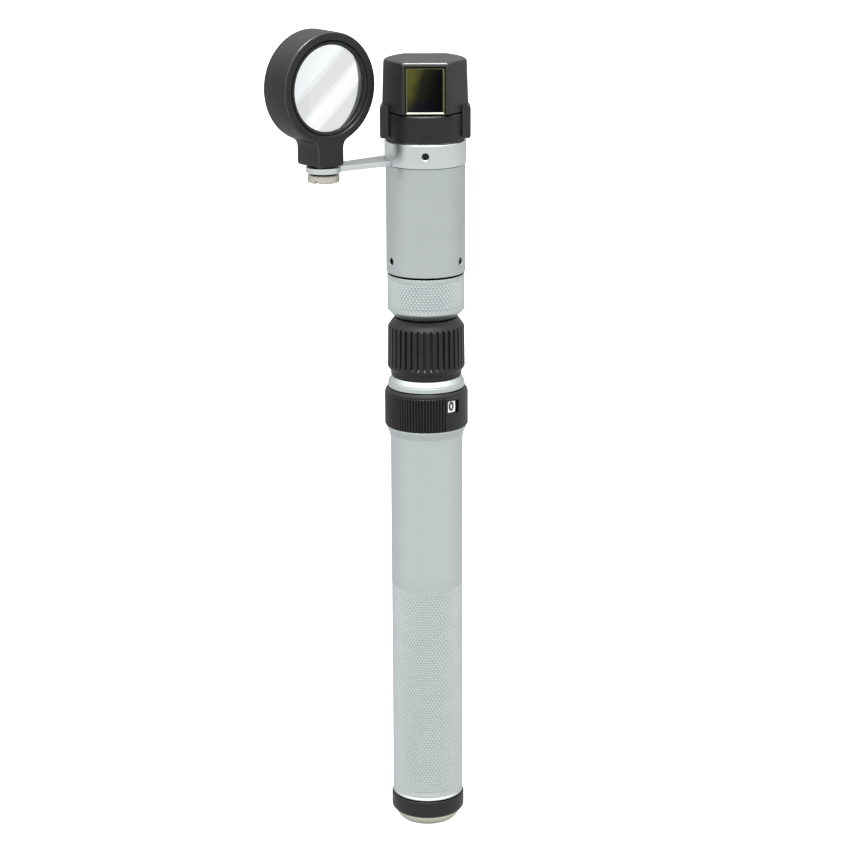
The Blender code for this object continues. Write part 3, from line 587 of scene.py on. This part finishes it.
def build_handle_tube():
    """The grip: a fine diamond knurl below, satin above, and a flare under the rheostat."""
    bottom, top = heights("handle_tube")
    flare = half_width("handle_tube")
    radius = half_width("foot_ring") - 0.3
    bore = 7.6
    knurl_top = 68.0
    knurl_bottom = bottom + 1.3
    head = soften([
        (bore + 0.9, top), (flare - 0.05, top, 0.1), (flare - 0.05, top - 0.4, 0.2),
        (radius + 0.30, top - 2.3, 0.1), (radius, top - 4.2, 1.2), (radius, knurl_top + 6.0)], closed=False)
    band = [(radius, height) for height in close_rows(knurl_top, knurl_bottom + 0.2, KNURL_PITCH)]
    tail = soften([
        (radius, knurl_bottom + 0.1), (radius - 0.1, knurl_bottom, 0),
        (radius - 0.62, knurl_bottom - 0.25, 0.1), (radius - 0.03, bottom + 0.35, 0.1),
        (radius - 0.2, bottom, 0.1), (bore, bottom), (bore, top - 8.0),
        (bore + 0.9, top - 8.0)], closed=False)
    rows = head + band + tail
    piece = lathe(
        "handle_grip", rows, LOOKS["satin_silver"], even_angles(KNURL_COLUMNS),
        knurl=(len(head), len(head) + len(band) - 1, KNURL_DEPTH))
    # The knurled faces take the lighter copy of the anodising: painted light.
    recolour(piece, KNURL_PAINTED_LIGHT, lambda middle, _: middle.xy.length > bore + 1.0 and middle.z < knurl_top)
    return belongs(piece, "handle", "satin_silver", "handle_tube")


def build_neck():
    """The neck's domed flange, the bayonet socket in it and the spigot below."""
    bottom, top = heights("handle_neck")
    flange = half_width("handle_neck")
    under_flange = heights("rheostat_ring")[1] + 0.2
    socket_floor = heights("head_plug")[0] - 0.4
    rows = soften([
        (9.1, top, 0.1), (flange - 0.1, top - 1.35, 0.35), (flange - 0.08, top - 1.65, 0.0),
        (flange, top - 1.75, 0.05), (flange, under_flange, 0.2), (8.3, under_flange),
        (8.3, bottom), (7.6, bottom), (7.6, socket_floor - 2.0), (3.4, socket_floor - 2.0),
        (3.4, socket_floor), (7.2, socket_floor), (7.2, top, 0.3)], 0.12, 5)
    piece = lathe("neck_flange", rows, LOOKS["satin_silver"])
    return belongs(piece, "handle", "satin_silver", "handle_neck")


def rib_angles(count, shares):
    """List the angles of the points of each rib or flute; shares are parts of its pitch."""
    pitch = 360.0 / count
    return [pitch * (number + share) for number in range(count) for share in shares]


def build_rheostat():
    """The ribbed ring, with a smooth panel that has the dial's window."""
    bottom, top = heights("rheostat_ring")
    radius = half_width("rheostat_ring")
    ribs = 88
    depth = 0.34
    lip = top - 1.15
    panel_start = -90.0 + 27.0
    panel_end = -90.0 + 82.0

    def ribbed(reach, height, angle):
        turn = (angle + 90.0) % 360.0 - 90.0
        if reach < radius - 1.0 or height > lip + 0.001 or panel_start < turn < panel_end:
            return reach
        share = (angle / (360.0 / ribs)) % 1.0
        groove = max(0.0, 1.0 - abs(share - 0.5) / 0.26)
        return min(reach, radius - depth * min(1.0, groove * 1.6))

    rows = soften([
        (8.5, top), (10.3, top, 0.1), (radius - 0.16, top - 0.75, 0.25), (radius - 0.16, lip + 0.2, 0),
        (radius - 0.16, lip, 0), (radius, lip - 0.18, 0), (radius, bottom + 0.1, 0),
        (radius - 0.1, bottom, 0), (9.5, bottom), (9.5, top - 1.6), (8.5, top - 1.6)], 0.08, 3)
    piece = lathe(
        "rheostat_grip", rows, LOOKS["black_plastic"],
        rib_angles(ribs, (0.0, 0.24, 0.34, 0.5, 0.66, 0.76)), ribbed, sharp=28.0)
    combine(piece, dial_box("dial_recess", (-1.85, 9.95, -1.7), (1.85, 13.0, 1.7)))
    sharpen(piece, 28.0)
    return belongs(piece, "rheostat", "black_plastic", "rheostat_ring")


def turn_to_dial(piece):
    """Move a piece made at the front, level with the origin, to the dial."""
    rise = Matrix.Translation(Vector((0, 0, centre("indicator_plate")[2])) * MM)
    piece.data.transform(rise @ Matrix.Rotation(math.radians(DIAL_AZIMUTH), 4, "Z"))
    return piece


def dial_box(name, low, high, bevel=0.0):
    """A box in the dial's recess, by its place across the dial, outwards and up from its middle."""
    return turn_to_dial(box_piece(name, (low[0], -high[1], low[2]), (high[0], -low[1], high[2]), bevel))


def build_base():
    """The black foot ring and the silver cap under it."""
    bottom, top = heights("foot_ring")
    radius = half_width("foot_ring")
    rows = soften([
        (7.3, top), (radius - 0.15, top, 0.12), (radius, top - 0.25, 0.12), (radius, bottom + 0.8, 0.5),
        (radius - 0.7, bottom, 0.35), (7.3, bottom)], 0.1, 4)
    ring = lathe("foot_ring_moulded", rows, LOOKS["black_plastic"])
    belongs(ring, "base", "black_plastic", "foot_ring")
    cap_bottom, cap_top = heights("base_cap")
    cap_radius = half_width("base_cap")
    rows = soften([
        (0, cap_top), (7.4, cap_top, 0.3), (7.4, top + 0.3), (7.1, top + 0.1), (7.1, bottom - 0.1),
        (cap_radius, bottom - 0.2, 0.15), (cap_radius, 1.3, 0.5), (cap_radius - 0.9, 0.35, 0.4),
        (cap_radius - 1.5, cap_bottom, 0.3), (3.2, cap_bottom, 0.1), (2.8, cap_bottom + 0.4, 0.1),
        (0, cap_bottom + 0.4)], 0.1, 4, closed=False)
    cap = lathe("base_cap_turned", rows, WARM_SATIN)
    belongs(cap, "base", "satin_silver", "base_cap")


# Lamp head

def build_sleeve():
    """The locking sleeve: its flutes run out into the chamfers above and below."""
    bottom, top = heights("locking_sleeve")
    radius = half_width("locking_sleeve")
    top_radius = radius - 0.15
    flutes = 37
    depth = 0.62
    flute_top = top - 2.1
    flute_bottom = bottom + 2.7
    run_out = 0.6

    def fluted(reach, height, angle):
        if reach < 8.6 or not flute_bottom < height < flute_top:
            return reach
        share = (angle / (360.0 / flutes)) % 1.0
        gap = abs(share - 0.5)
        groove = max(0.0, min(1.0, (0.20 - gap) / 0.08))
        shallow = min(1.0, (height - flute_bottom) / run_out)
        return reach - depth * groove * shallow

    rows = soften([
        (8.1, top), (8.25, top, 0.1), (top_radius - 0.35, top - 1.9, 0.2), (top_radius, top - 2.5, 0.35)],
        0.1, 4, False)
    rows += [
        (top_radius, flute_top - 0.35), (radius - 0.02, flute_bottom + run_out), (radius, flute_bottom)]
    rows += soften([
        (radius, flute_bottom - 0.1), (radius - 0.05, bottom + 2.2, 0.4), (9.45, bottom + 1.35, 0.3),
        (9.25, bottom + 1.1, 0.1), (9.35, bottom + 0.35, 0.3), (9.1, bottom, 0.15), (8.1, bottom)],
        0.1, 4, False)
    piece = lathe(
        "sleeve_fluted", rows, LOOKS["black_plastic"],
        rib_angles(flutes, (0.0, 0.22, 0.30, 0.34, 0.38, 0.5, 0.62, 0.66, 0.70, 0.78)), fluted, sharp=30.0)
    return belongs(piece, "head", "black_plastic", "locking_sleeve")


def build_slit_ring():
    """The knurled slit ring, with its smooth chamfer below."""
    bottom, top = heights("slit_ring")
    radius = half_width("slit_ring")
    bore = 8.1
    head = [(bore, top), (radius - 0.35, top)]
    head += soften([(radius - 0.34, top), (radius - 0.02, top, 0.18), (radius, top - 0.5, 0.1)], closed=False)
    band = [(radius, height) for height in close_rows(top - 0.55, bottom + 2.15, KNURL_PITCH)]
    tail = soften([
        (radius, bottom + 2.05), (radius, bottom + 1.8, 0.12), (bore + 0.25, bottom, 0.15),
        (bore, bottom)], closed=False)
    rows = head + band + tail
    piece = lathe(
        "slit_ring_knurled", rows, LOOKS["satin_silver"], even_angles(KNURL_COLUMNS),
        knurl=(len(head), len(head) + len(band) - 1, KNURL_DEPTH))
    # The ring's bore and inner top are painted black, as shade in the gap.
    recolour(piece, PAINTED_GAP_SHADE, lambda middle, _: middle.xy.length < bore + 0.2 or (
        middle.z > top - 0.01 and middle.xy.length < radius - 0.34))
    return belongs(piece, "slit_control", "satin_silver", "slit_ring")


def screw_pocket(radius, azimuth, height):
    """A cutter for a set screw's hole, with a small countersink."""
    hole = 0.92
    floor = radius - 2.4
    rows = [(0, radius + 1.0), (hole + 1.12, radius + 1.0), (hole, radius - 0.14), (hole, floor), (0, floor)]
    cutter = lathe("pocket", rows, LOOKS["satin_silver"], even_angles(32))
    point_outwards(cutter, azimuth, height)
    return cutter


def build_head_tube():
    """The satin barrel, with its slim stem, its spigot and three set-screw holes."""
    bottom, top = heights("head_tube")
    radius = half_width("head_tube")
    shoulder = heights("loupe_collar")[0] - 0.15
    underside = heights("slit_ring")[1] + 0.55
    rows = soften([
        (8.7, top), (9.5, top, 0.2), (9.5, shoulder, 0.1), (radius, shoulder, 0.16),
        (radius, underside, 0.22), (radius - 0.4, underside, 0), (7.9, underside), (7.9, bottom),
        (6.9, bottom), (6.9, underside + 1.7), (8.7, underside + 1.7)], 0.1, 3)
    # The barrel takes the darker copy of the anodising: painted shade.
    piece = lathe("head_barrel", rows, SATIN_PAINTED_DARKER, even_angles(FINE_STEPS))
    height = centre("tube_screw_1")[2]
    for azimuth in SCREW_AZIMUTHS:
        combine(piece, screw_pocket(radius, azimuth, height))
    sharpen(piece)
    # The barrel's underside, stem and bore are painted black, as shade under the slit ring.
    recolour(piece, PAINTED_GAP_SHADE, lambda middle, _: middle.xy.length < radius - 0.4 and middle.z < shoulder)
    return belongs(piece, "head", "satin_silver", "head_tube")


def set_screw(name, azimuth, height, outer, length, look):
    """A set screw with a hexagon socket and a chamfered rim."""
    radius = 0.84
    socket = 0.46
    steps = even_angles(36)

    def hexagon(reach, z, angle):
        if reach > socket + 0.01:
            return reach
        return reach / math.cos(math.radians(angle % 60.0 - 30.0))

    rows = [
        (0, -0.55), (socket, -0.55), (socket, 0.0), (radius - 0.16, 0.0), (radius, -0.16),
        (radius, -length), (0, -length)]
    piece = lathe(name, rows, look, steps, hexagon)
    point_outwards(piece, azimuth, height, outer)
    return piece


def build_screws():
    """Three set screws in the head tube and one in the collar."""
    height = centre("tube_screw_1")[2]
    radius = half_width("head_tube")
    looks = (BLACK_OXIDE, LOOKS["spring_steel"], BLACK_OXIDE)
    for number, (azimuth, look) in enumerate(zip(SCREW_AZIMUTHS, looks), start=1):
        screw = set_screw(
            f"tube_set_screw_{number}", azimuth, height, outer=radius - 0.4, length=1.1, look=look)
        belongs(screw, "head", "spring_steel", f"tube_screw_{number}")
    collar_radius = half_width("loupe_collar")
    height = centre("collar_screw")[2]
    screw = set_screw(
        "collar_set_screw", 0.0, height, outer=collar_radius - 0.4, length=0.45, look=BLACK_OXIDE)
    belongs(screw, "collar", "spring_steel", "collar_screw")


def build_housing():
    """The black ring that carries the prism, notched where the clips' feet come down."""
    bottom, top = heights("prism_housing")
    radius = half_width("prism_housing")
    mark = bottom + 1.9

    def notched(reach, height, angle):
        azimuth = (angle + 90.0 + 180.0) % 360.0 - 180.0
        if reach < 9.8:
            return reach
        if height < bottom + 2.34 and abs(abs(azimuth) - 80.0) < 19.0:
            return min(reach, 9.92)
        if abs(height - mark) < 0.13 and abs(azimuth) < 8.5:
            return reach - 0.16
        return reach

    rows = soften([
        (4.4, top), (radius - 0.35, top, 0.1), (radius, top - 0.35, 0.15), (radius, bottom + 2.36, 0),
        (radius, bottom + 2.33, 0), (radius, mark + 0.14, 0), (radius, mark + 0.12, 0),
        (radius, mark - 0.12, 0), (radius, mark - 0.14, 0), (radius, bottom, 0.15),
        (9.7, bottom), (9.7, bottom + 1.75), (4.4, bottom + 1.75)], 0.1, 3)
    piece = lathe("housing_ring", rows, LOOKS["black_plastic"], even_angles(FINE_STEPS), notched)
    return belongs(piece, "head", "black_plastic", "prism_housing")


# Filter cap

def cap_outline(scale=1.0):
    """The cap's plan: a front facet, two side facets, and flanks that curve to a flat back."""
    low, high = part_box("filter_cap")
    half = 11.1
    widest = -1.8
    front = (5.95, low[1] / MM)
    back = (5.8, high[1] / MM)
    rise = back[1] - widest
    middle = (back[0] ** 2 + rise ** 2 - half ** 2) / (2 * (back[0] - half))
    sweep = math.degrees(math.asin(rise / (half - middle)))
    right = [front] + arc((middle, widest), half - middle, 0.0, sweep, 12)
    left = [(-x, y) for x, y in reversed(right)]
    return [(x * scale, y * scale) for x, y in soften(right + left, 0.35, 2)]


def cap_shell(name, scale, bottom, top, bevel):
    """A tapered solid of the cap's plan, with a rounded upper rim."""
    shape = bmesh.new()
    base = cap_outline(scale)
    loops = []
    taper = 0.96
    for inset, height in [(0.0, bottom)] + soften(
            [(0.0, bottom + 1.0), (0.0, top, bevel), (bevel * 2, top)], bevel, 3, False):
        share = 1.0 - (1.0 - taper) * (height - bottom) / (top - bottom)
        loop = inset_outline(base, inset)
        loops.append([shape.verts.new((x * share, y * share, height)) for x, y in loop])
    bridge(shape, loops)
    shape.faces.new(list(reversed(loops[0])))
    shape.faces.new(loops[-1])
    return finish_mesh(name, shape, CAP_PLASTIC)


def box_piece(name, low, high, bevel=0.0):
    """A box between two corners, with rounded edges if a bevel is given."""
    shape = bmesh.new()
    bmesh.ops.create_cube(shape, size=1.0)
    size = [b - a for a, b in zip(low, high)]
    bmesh.ops.scale(shape, vec=size, verts=shape.verts)
    bmesh.ops.translate(shape, vec=[(a + b) / 2 for a, b in zip(low, high)], verts=shape.verts)
    if bevel:
        bmesh.ops.bevel(
            shape, geom=shape.edges[:], offset=bevel, segments=3, affect="EDGES", profile=0.5)
    return finish_mesh(name, shape, LOOKS["black_plastic"])


def clip_leg(side, outer, inner, foot, top):
    """A clip's leg: a rounded foot below, and a slope outwards from the cap at its shoulder."""
    profile = soften([
        (inner, foot, 0.1), (outer, foot, 0.8), (outer, top - 0.8, 0.15), (outer - 0.6, top, 0.1),
        (inner, top)], 0.1, 4)
    shape = bmesh.new()
    loops = [[shape.verts.new((side * x, y, z)) for x, z in profile] for y in (-4.8, 1.2)]
    bridge(shape, loops)
    shape.faces.new(loops[0])
    shape.faces.new(loops[1])
    return finish_mesh("leg", shape, CAP_PLASTIC)


def build_filter_cap():
    """The moulded cap: a shell with a front window, open below, and two curved clip legs."""
    low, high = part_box("filter_cap")
    bottom = heights("prism_housing")[1] + 0.4
    top = high[2] / MM
    foot = low[2] / MM
    outer = high[0] / MM
    front = low[1] / MM
    cap = cap_shell("filter_cap_moulded", 1.0, bottom, top, bevel=0.55)
    for side in (-1, 1):
        combine(cap, clip_leg(side, outer, outer - 2.2, foot, bottom + 1.6), "UNION")
    bore = half_width("prism_housing") + 0.12
    combine(cap, lathe("clip_bore", [
        (0, bottom - 0.2), (bore, bottom - 0.2), (bore, foot - 1.0), (0, foot - 1.0)],
        CAP_PLASTIC, even_angles(FINE_STEPS)))
    combine(cap, cap_shell("hollow", 0.88, bottom - 1.0, top - 0.9, bevel=0.3))
    window_half = half_width("filter_glass") + 0.3
    window_top = heights("filter_glass")[1] + 0.4
    combine(cap, box_piece(
        "window", (-window_half, front - 1.0, bottom - 1.0), (window_half, front + 2.0, window_top)))
    sharpen(cap, 32.0)
    # The cap's front top bevel gets the lighter black, a painted highlight bar.
    recolour(cap, PAINTED_HIGHLIGHT_EDGE, lambda middle, normal: (
        abs(middle.x) < 5.8 and middle.y < front + 1.2 and middle.z > top - 0.6 and normal.y < -0.15))
    return belongs(cap, "filter", "black_plastic", "filter_cap")


def build_filter_glass():
    """The filter pane, with wide ground rims that catch the light; the bottom rim glows, a painted highlight."""
    low, high = [[value / MM for value in corner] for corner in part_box("filter_glass")]
    left, right, rim_bottom, rim_top = 0.3, 0.38, 0.45, 0.1
    front = low[1]
    depth = 0.22
    outer = [(low[0], low[2]), (high[0], low[2]), (high[0], high[2]), (low[0], high[2])]
    inner = [
        (low[0] + left, low[2] + rim_bottom), (high[0] - right, low[2] + rim_bottom),
        (high[0] - right, high[2] - rim_top), (low[0] + left, high[2] - rim_top)]
    shape = bmesh.new()
    loops = [
        [shape.verts.new((x, high[1], z)) for x, z in outer],
        [shape.verts.new((x, front + depth, z)) for x, z in outer],
        [shape.verts.new((x, front, z)) for x, z in inner]]
    bridge(shape, loops)
    shape.faces.new(loops[0])
    coated = shape.faces.new(loops[-1])
    shape.faces.ensure_lookup_table()
    for face in shape.faces:
        face.material_index = 0 if face is coated else 1
    # The bottom rim takes the glowing rim, a painted highlight.
    bottom_rim = shape.faces[4]
    bottom_rim.material_index = 2
    piece = finish_mesh("filter_pane", shape, LOOKS["filter_glass"], sharp=20.0)
    piece.data.materials.append(GROUND_EDGE)
    piece.data.materials.append(PAINTED_GLOW_EDGE)
    return belongs(piece, "filter", "filter_glass", "filter_glass")


# Loupe

def build_collar():
    """The swivelling collar, with the hole of its set screw."""
    bottom, top = heights("loupe_collar")
    radius = half_width("loupe_collar")
    rows = soften([(9.7, top), (radius, top, 0.45), (radius, bottom, 0.14), (9.7, bottom)], 0.1, 4)
    # The collar takes the lighter copy of the anodising: painted light.
    piece = lathe("collar_turned", rows, SATIN_PAINTED_LIGHTER, even_angles(FINE_STEPS))
    combine(piece, screw_pocket(radius, 0.0, centre("collar_screw")[2]))
    sharpen(piece)
    return belongs(piece, "collar", "satin_silver", "loupe_collar")


def build_arm():
    """The flat arm narrows from the collar to a round eye, its long edges rounded."""
    bottom, top = heights("loupe_arm")
    root_radius = half_width("loupe_collar") + 0.05
    outline = arc(LOUPE_PIVOT, ARM_EYE_RADIUS, *ARM_EYE_ANGLES, steps=40)
    outline += arc((0, 0), root_radius, *ARM_ROOT_ANGLES, steps=12)
    # The arm's sides take the lighter copy of the anodising: painted light.
    piece = extrude("arm_bar", outline, bottom, top, SATIN_PAINTED_LIGHTER, ARM_EDGE)
    # The arm's top face takes the darker copy: painted shade.
    recolour(piece, ARM_TOP_PAINTED_SHADE, lambda middle, _: middle.z > top - 0.01)
    return belongs(piece, "collar", "satin_silver", "loupe_arm")


def stand_loupe(piece):
    """Stand a piece made about Z at the loupe's centre, facing the front right."""
    place = Vector((*LOUPE_PIVOT, LOUPE_CENTRE_HEIGHT)) * MM
    turn = Matrix.Rotation(math.radians(LOUPE_TURN), 4, "Z") @ Matrix.Rotation(math.radians(90), 4, "X")
    piece.data.transform(Matrix.Translation(place) @ turn)
    return piece


def loupe_outline(radius, stem, bottom, fillet, corner):
    """A circle that runs through two concave fillets into a stem with rounded corners."""
    fillet_x = stem + fillet
    fillet_y = -math.sqrt((radius + fillet) ** 2 - fillet_x ** 2)
    turn = math.degrees(math.atan2(fillet_y, fillet_x))
    outline = arc((0, 0), radius, turn, 180.0 - turn, 96)
    outline += arc((-fillet_x, fillet_y), fillet, -turn, 0.0, 8)[1:]
    outline += soften([
        (-stem, fillet_y - 1.0), (-stem, bottom, corner), (stem, bottom, corner), (stem, fillet_y - 1.0)],
        corner, 4, False)
    outline += arc((fillet_x, fillet_y), fillet, 180.0, 180.0 + turn, 8)[:-1]
    return outline


def build_loupe_frame():
    """The moulded frame: rounded rims, a bore that flares behind the lens, and the stem."""
    bottom = heights("loupe_frame")[0] - LOUPE_CENTRE_HEIGHT
    radius = heights("loupe_frame")[1] - LOUPE_CENTRE_HEIGHT
    outline = loupe_outline(radius, LOUPE_STEM_HALF, bottom, fillet=2.4, corner=1.0)
    rim = 0.55
    shape = bmesh.new()
    loops = []
    for inset, height in soften([
            (2.0, LOUPE_FRONT), (0.0, LOUPE_FRONT, rim), (0.0, LOUPE_BACK, rim), (2.0, LOUPE_BACK)],
            rim, 4, False):
        if inset < 1.5:
            loops.append([shape.verts.new((x, y, height)) for x, y in inset_outline(outline, inset)])
    angles = [math.atan2(y, x) for x, y in outline]
    for reach, height in soften([
            (LOUPE_REAR_BORE, LOUPE_BACK, 0.2), (LOUPE_LIP_BORE, LOUPE_SEAT, 0.1),
            (LOUPE_LENS_BORE, LOUPE_SEAT, 0.1), (LOUPE_LENS_BORE, LOUPE_FRONT - 0.3, 0.15),
            (LOUPE_MOUTH, LOUPE_FRONT, 0.15)], 0.15, 3, False):
        loops.append([shape.verts.new((reach * math.cos(a), reach * math.sin(a), height)) for a in angles])
    bridge(shape, loops + [loops[0]])
    piece = finish_mesh("loupe_frame_moulded", shape, LOOKS["black_plastic"], sharp=32.0)
    recolour(piece, GLOSS_EDGE, lambda middle, normal: middle.xy.length > 12.5 and 0.15 < normal.z < 0.98)
    stand_loupe(piece)
    return belongs(piece, "loupe", "black_plastic", "loupe_frame")


def build_loupe_optics():
    """The magnifying lens and the ring that holds it."""
    radius = 11.6
    steps = [step / 10 for step in range(11)]
    front = [(radius * share, LOUPE_SEAT + 1.55 + 1.05 * (1 - share ** 2)) for share in steps]
    back = [(radius * share, LOUPE_SEAT + 0.2 - 1.25 * (1 - share ** 2)) for share in reversed(steps)]
    lens = lathe("loupe_lens_ground", front + back, LENS, even_angles(SMOOTH_STEPS), sharp=40.0)
    belongs(stand_loupe(lens), "loupe", "optical_glass", "loupe_lens")
    rows = soften([
        (10.9, 3.0, 0.12), (11.05, 3.3, 0.1), (11.7, 3.3, 0.08), (11.7, 2.3), (10.9, 2.4)], 0.06, 3)
    ring = lathe("loupe_retaining_ring", rows, LOOKS["black_plastic"], even_angles(SMOOTH_STEPS))
    belongs(stand_loupe(ring), "loupe", "black_plastic", "loupe_retainer")


def build_thumbscrew():
    """The clamp screw's head has a finely knurled rim and a slot across its face."""
    bottom, top = heights("thumbscrew")
    head_top = heights("clamp_washer")[0] - 0.1
    radius = half_width("thumbscrew")
    at_pivot = Matrix.Translation(Vector((*LOUPE_PIVOT, 0.0)) * MM)
    serrations = 60

    def serrated(reach, height, angle):
        if reach < radius - 0.05 or height > head_top - 0.2 or height < bottom + 0.25:
            return reach
        share = (angle / (360.0 / serrations)) % 1.0
        return reach - 0.12 * (1.0 - abs(2.0 * share - 1.0))

    rows = [(0, top), (1.2, top), (1.4, top - 0.2), (1.4, head_top), (radius - 0.2, head_top)]
    rows += [(radius, head_top - 0.18), (radius, head_top - 0.22), (radius, bottom + 0.24)]
    rows += [(radius, bottom + 0.2), (radius - 0.22, bottom), (0, bottom)]
    screw = lathe(
        "thumbscrew_turned", rows, LOOKS["nickel"], rib_angles(serrations, (0.0, 0.5)), serrated, sharp=30.0)
    slot = box_piece("slot", (-0.5, -6.0, bottom - 1.0), (0.5, 6.0, bottom + 0.7))
    slot.data.transform(Matrix.Rotation(math.radians(-25.0), 4, "Z"))
    combine(screw, slot)
    screw.data.transform(at_pivot)
    sharpen(screw, 30.0)
    belongs(screw, "clamp_screw", "nickel", "thumbscrew")
    low, high = heights("clamp_washer")
    rows = soften([(1.6, high), (3.3, high), (3.3, low), (1.6, low)], 0.05, 2)
    washer = lathe("washer_moulded", rows, LOOKS["black_plastic"], even_angles(48))
    washer.data.transform(at_pivot)
    belongs(washer, "clamp", "black_plastic", "clamp_washer")


# Dial

def build_dial():
    """The white plate at the left of the rheostat's recess, with a zero on it."""
    low, high = heights("indicator_plate")
    half_height = (high - low) / 2
    across = -0.35
    half = 1.375
    face = 10.325
    plate = dial_box(
        "dial_plate", (across - half, face - 0.35, -half_height), (across + half, face, half_height), 0.05)
    plate.data.materials[0] = LOOKS["white_plate"]
    shape = bmesh.new()
    loops = []
    for width, tall, lift in ((0.85, 1.22, 0.0), (0.85, 1.22, 0.05), (0.28, 0.68, 0.05), (0.28, 0.68, 0.0)):
        loop = []
        for angle in even_angles(40):
            turn = math.radians(angle)
            x, z = across + width * math.cos(turn), 0.15 + tall * math.sin(turn)
            loop.append(shape.verts.new((x, -face - 0.005 - lift, z)))
        loops.append(loop)
    bridge(shape, loops + [loops[0]])
    digit = turn_to_dial(finish_mesh("dial_zero", shape, DIAL_INK))
    belongs(plate, "rheostat", "white_plate", "indicator_plate")
    belongs(digit, "rheostat", "black_plastic")


# CAD nodes that stay

def dress_cad_nodes():
    """Give every CAD node that stays its detailed material, and soften the cage's edges."""
    for subpart in frame["record"]["subparts"]:
        node = frame["nodes"][subpart["node"]]
        node.data.materials.clear()
        node.data.materials.append(LOOKS[subpart["material_slot"]])
    for name, width in (("prism_cage", 0.25), ("prism", 0.15), ("lamp_base", 0.15)):
        bevel = frame["nodes"][name].modifiers.new("Edges", "BEVEL")
        bevel.width = width * MM
        bevel.segments = 2
        bevel.limit_method = "ANGLE"


# Studio

def seen_directly(tree):
    """Give two masks: what the camera sees directly or through glass, and what reflections see."""
    path = tree.nodes.new("ShaderNodeLightPath").outputs
    seen = calculate(tree, "MAXIMUM", path["Is Camera Ray"], path["Is Transmission Ray"])
    return seen, path["Is Glossy Ray"]


def build_floor():
    """A wide, pale, plain floor, which the camera sees white and reflections pass through."""
    shape = bmesh.new()
    bmesh.ops.create_grid(shape, x_segments=1, y_segments=1, size=4.0)
    mesh = bpy.data.meshes.new("studio_floor")
    shape.to_mesh(mesh)
    shape.free()
    material, shader = new_material("pale_floor")
    tree = material.node_tree
    shader.inputs["Roughness"].default_value = 0.9
    shader.inputs["Specular IOR Level"].default_value = 0.1
    shader.inputs["Base Color"].default_value = (0.6, 0.6, 0.6, 1.0)
    shader.inputs["Emission Color"].default_value = (1.0, 1.0, 1.0, 1.0)
    seen, glossy = seen_directly(tree)
    tree.links.new(seen, shader.inputs["Emission Strength"])
    clear = tree.nodes.new("ShaderNodeBsdfTransparent")
    mix = tree.nodes.new("ShaderNodeMixShader")
    tree.links.new(glossy, mix.inputs["Fac"])
    tree.links.new(shader.outputs["BSDF"], mix.inputs[1])
    tree.links.new(clear.outputs["BSDF"], mix.inputs[2])
    tree.links.new(mix.outputs["Shader"], tree.nodes["Material Output"].inputs["Surface"])
    mesh.materials.append(material)
    floor = add_object("studio_floor", mesh)


def level_ramp(tree, source, levels):
    """Turn a value into a grey level by (value, level) stops."""
    low, high = levels[0][0], levels[-1][0]
    stops = [((value - low) / (high - low), (level,) * 3) for value, level in levels]
    return ramp(tree, map_range(tree, source, low, high), stops)


def build_world():
    """A white studio that dims behind the object, with a white backdrop for the camera."""
    world = bpy.data.worlds.new("studio")
    bpy.context.scene.world = world
    world.use_nodes = True
    tree = world.node_tree
    background = tree.nodes["Background"]
    axes = split_axes(tree, coordinate(tree, "Generated"))
    front = calculate(tree, "MULTIPLY", axes["Y"], -1.0)
    azimuth = calculate(tree, "DEGREES", calculate(tree, "ARCTAN2", axes["X"], front))
    round_levels = level_ramp(tree, azimuth, ROUND_LEVELS)
    height_levels = level_ramp(tree, axes["Z"], HEIGHT_LEVELS)
    studio = mix_colours(tree, 1.0, round_levels, height_levels, "MULTIPLY")
    seen, _ = seen_directly(tree)
    tree.links.new(mix_colours(tree, seen, studio, BACKDROP), background.inputs["Color"])
    background.inputs["Strength"].default_value = 1.0


def build_lights():
    """One softbox overhead, a little in front."""
    data = bpy.data.lights.new("overhead_softbox", "AREA")
    data.shape = "RECTANGLE"
    data.size, data.size_y = SOFTBOX_SIZE
    data.energy = SOFTBOX_POWER
    lamp = add_object("overhead_softbox", data)
    lamp.location = SOFTBOX_PLACE
    aim = Vector(SOFTBOX_TARGET) - Vector(SOFTBOX_PLACE)
    lamp.rotation_euler = aim.to_track_quat("-Z", "Y").to_euler()


def build_camera():
    """A camera in front, a little above the head."""
    tilt = math.radians(CAMERA_ELEVATION)
    data = bpy.data.cameras.new("camera")
    data.lens = CAMERA_LENS
    data.sensor_width = 36.0
    camera = add_object("camera", data)
    place = Vector(CAMERA_AIM) + Vector((0, -math.cos(tilt), math.sin(tilt))) * CAMERA_DISTANCE
    look = Matrix.Rotation(math.radians(90.0 - CAMERA_ELEVATION), 4, "X")
    roll = Matrix.Rotation(math.radians(CAMERA_ROLL), 4, "Z")
    camera.matrix_world = Matrix.Translation(place) @ look @ roll
    bpy.context.scene.camera = camera


def main():
    """Build the studio and every piece."""
    build_camera()
    build_world()
    build_lights()
    build_floor()
    dress_cad_nodes()
    build_handle_tube()
    build_neck()
    build_rheostat()
    build_dial()
    build_base()
    build_sleeve()
    build_slit_ring()
    build_head_tube()
    build_screws()
    build_housing()
    build_filter_cap()
    build_filter_glass()
    build_collar()
    build_arm()
    build_loupe_frame()
    build_loupe_optics()
    build_thumbscrew()
    bpy.context.scene.view_settings.view_transform = "Standard"


main()
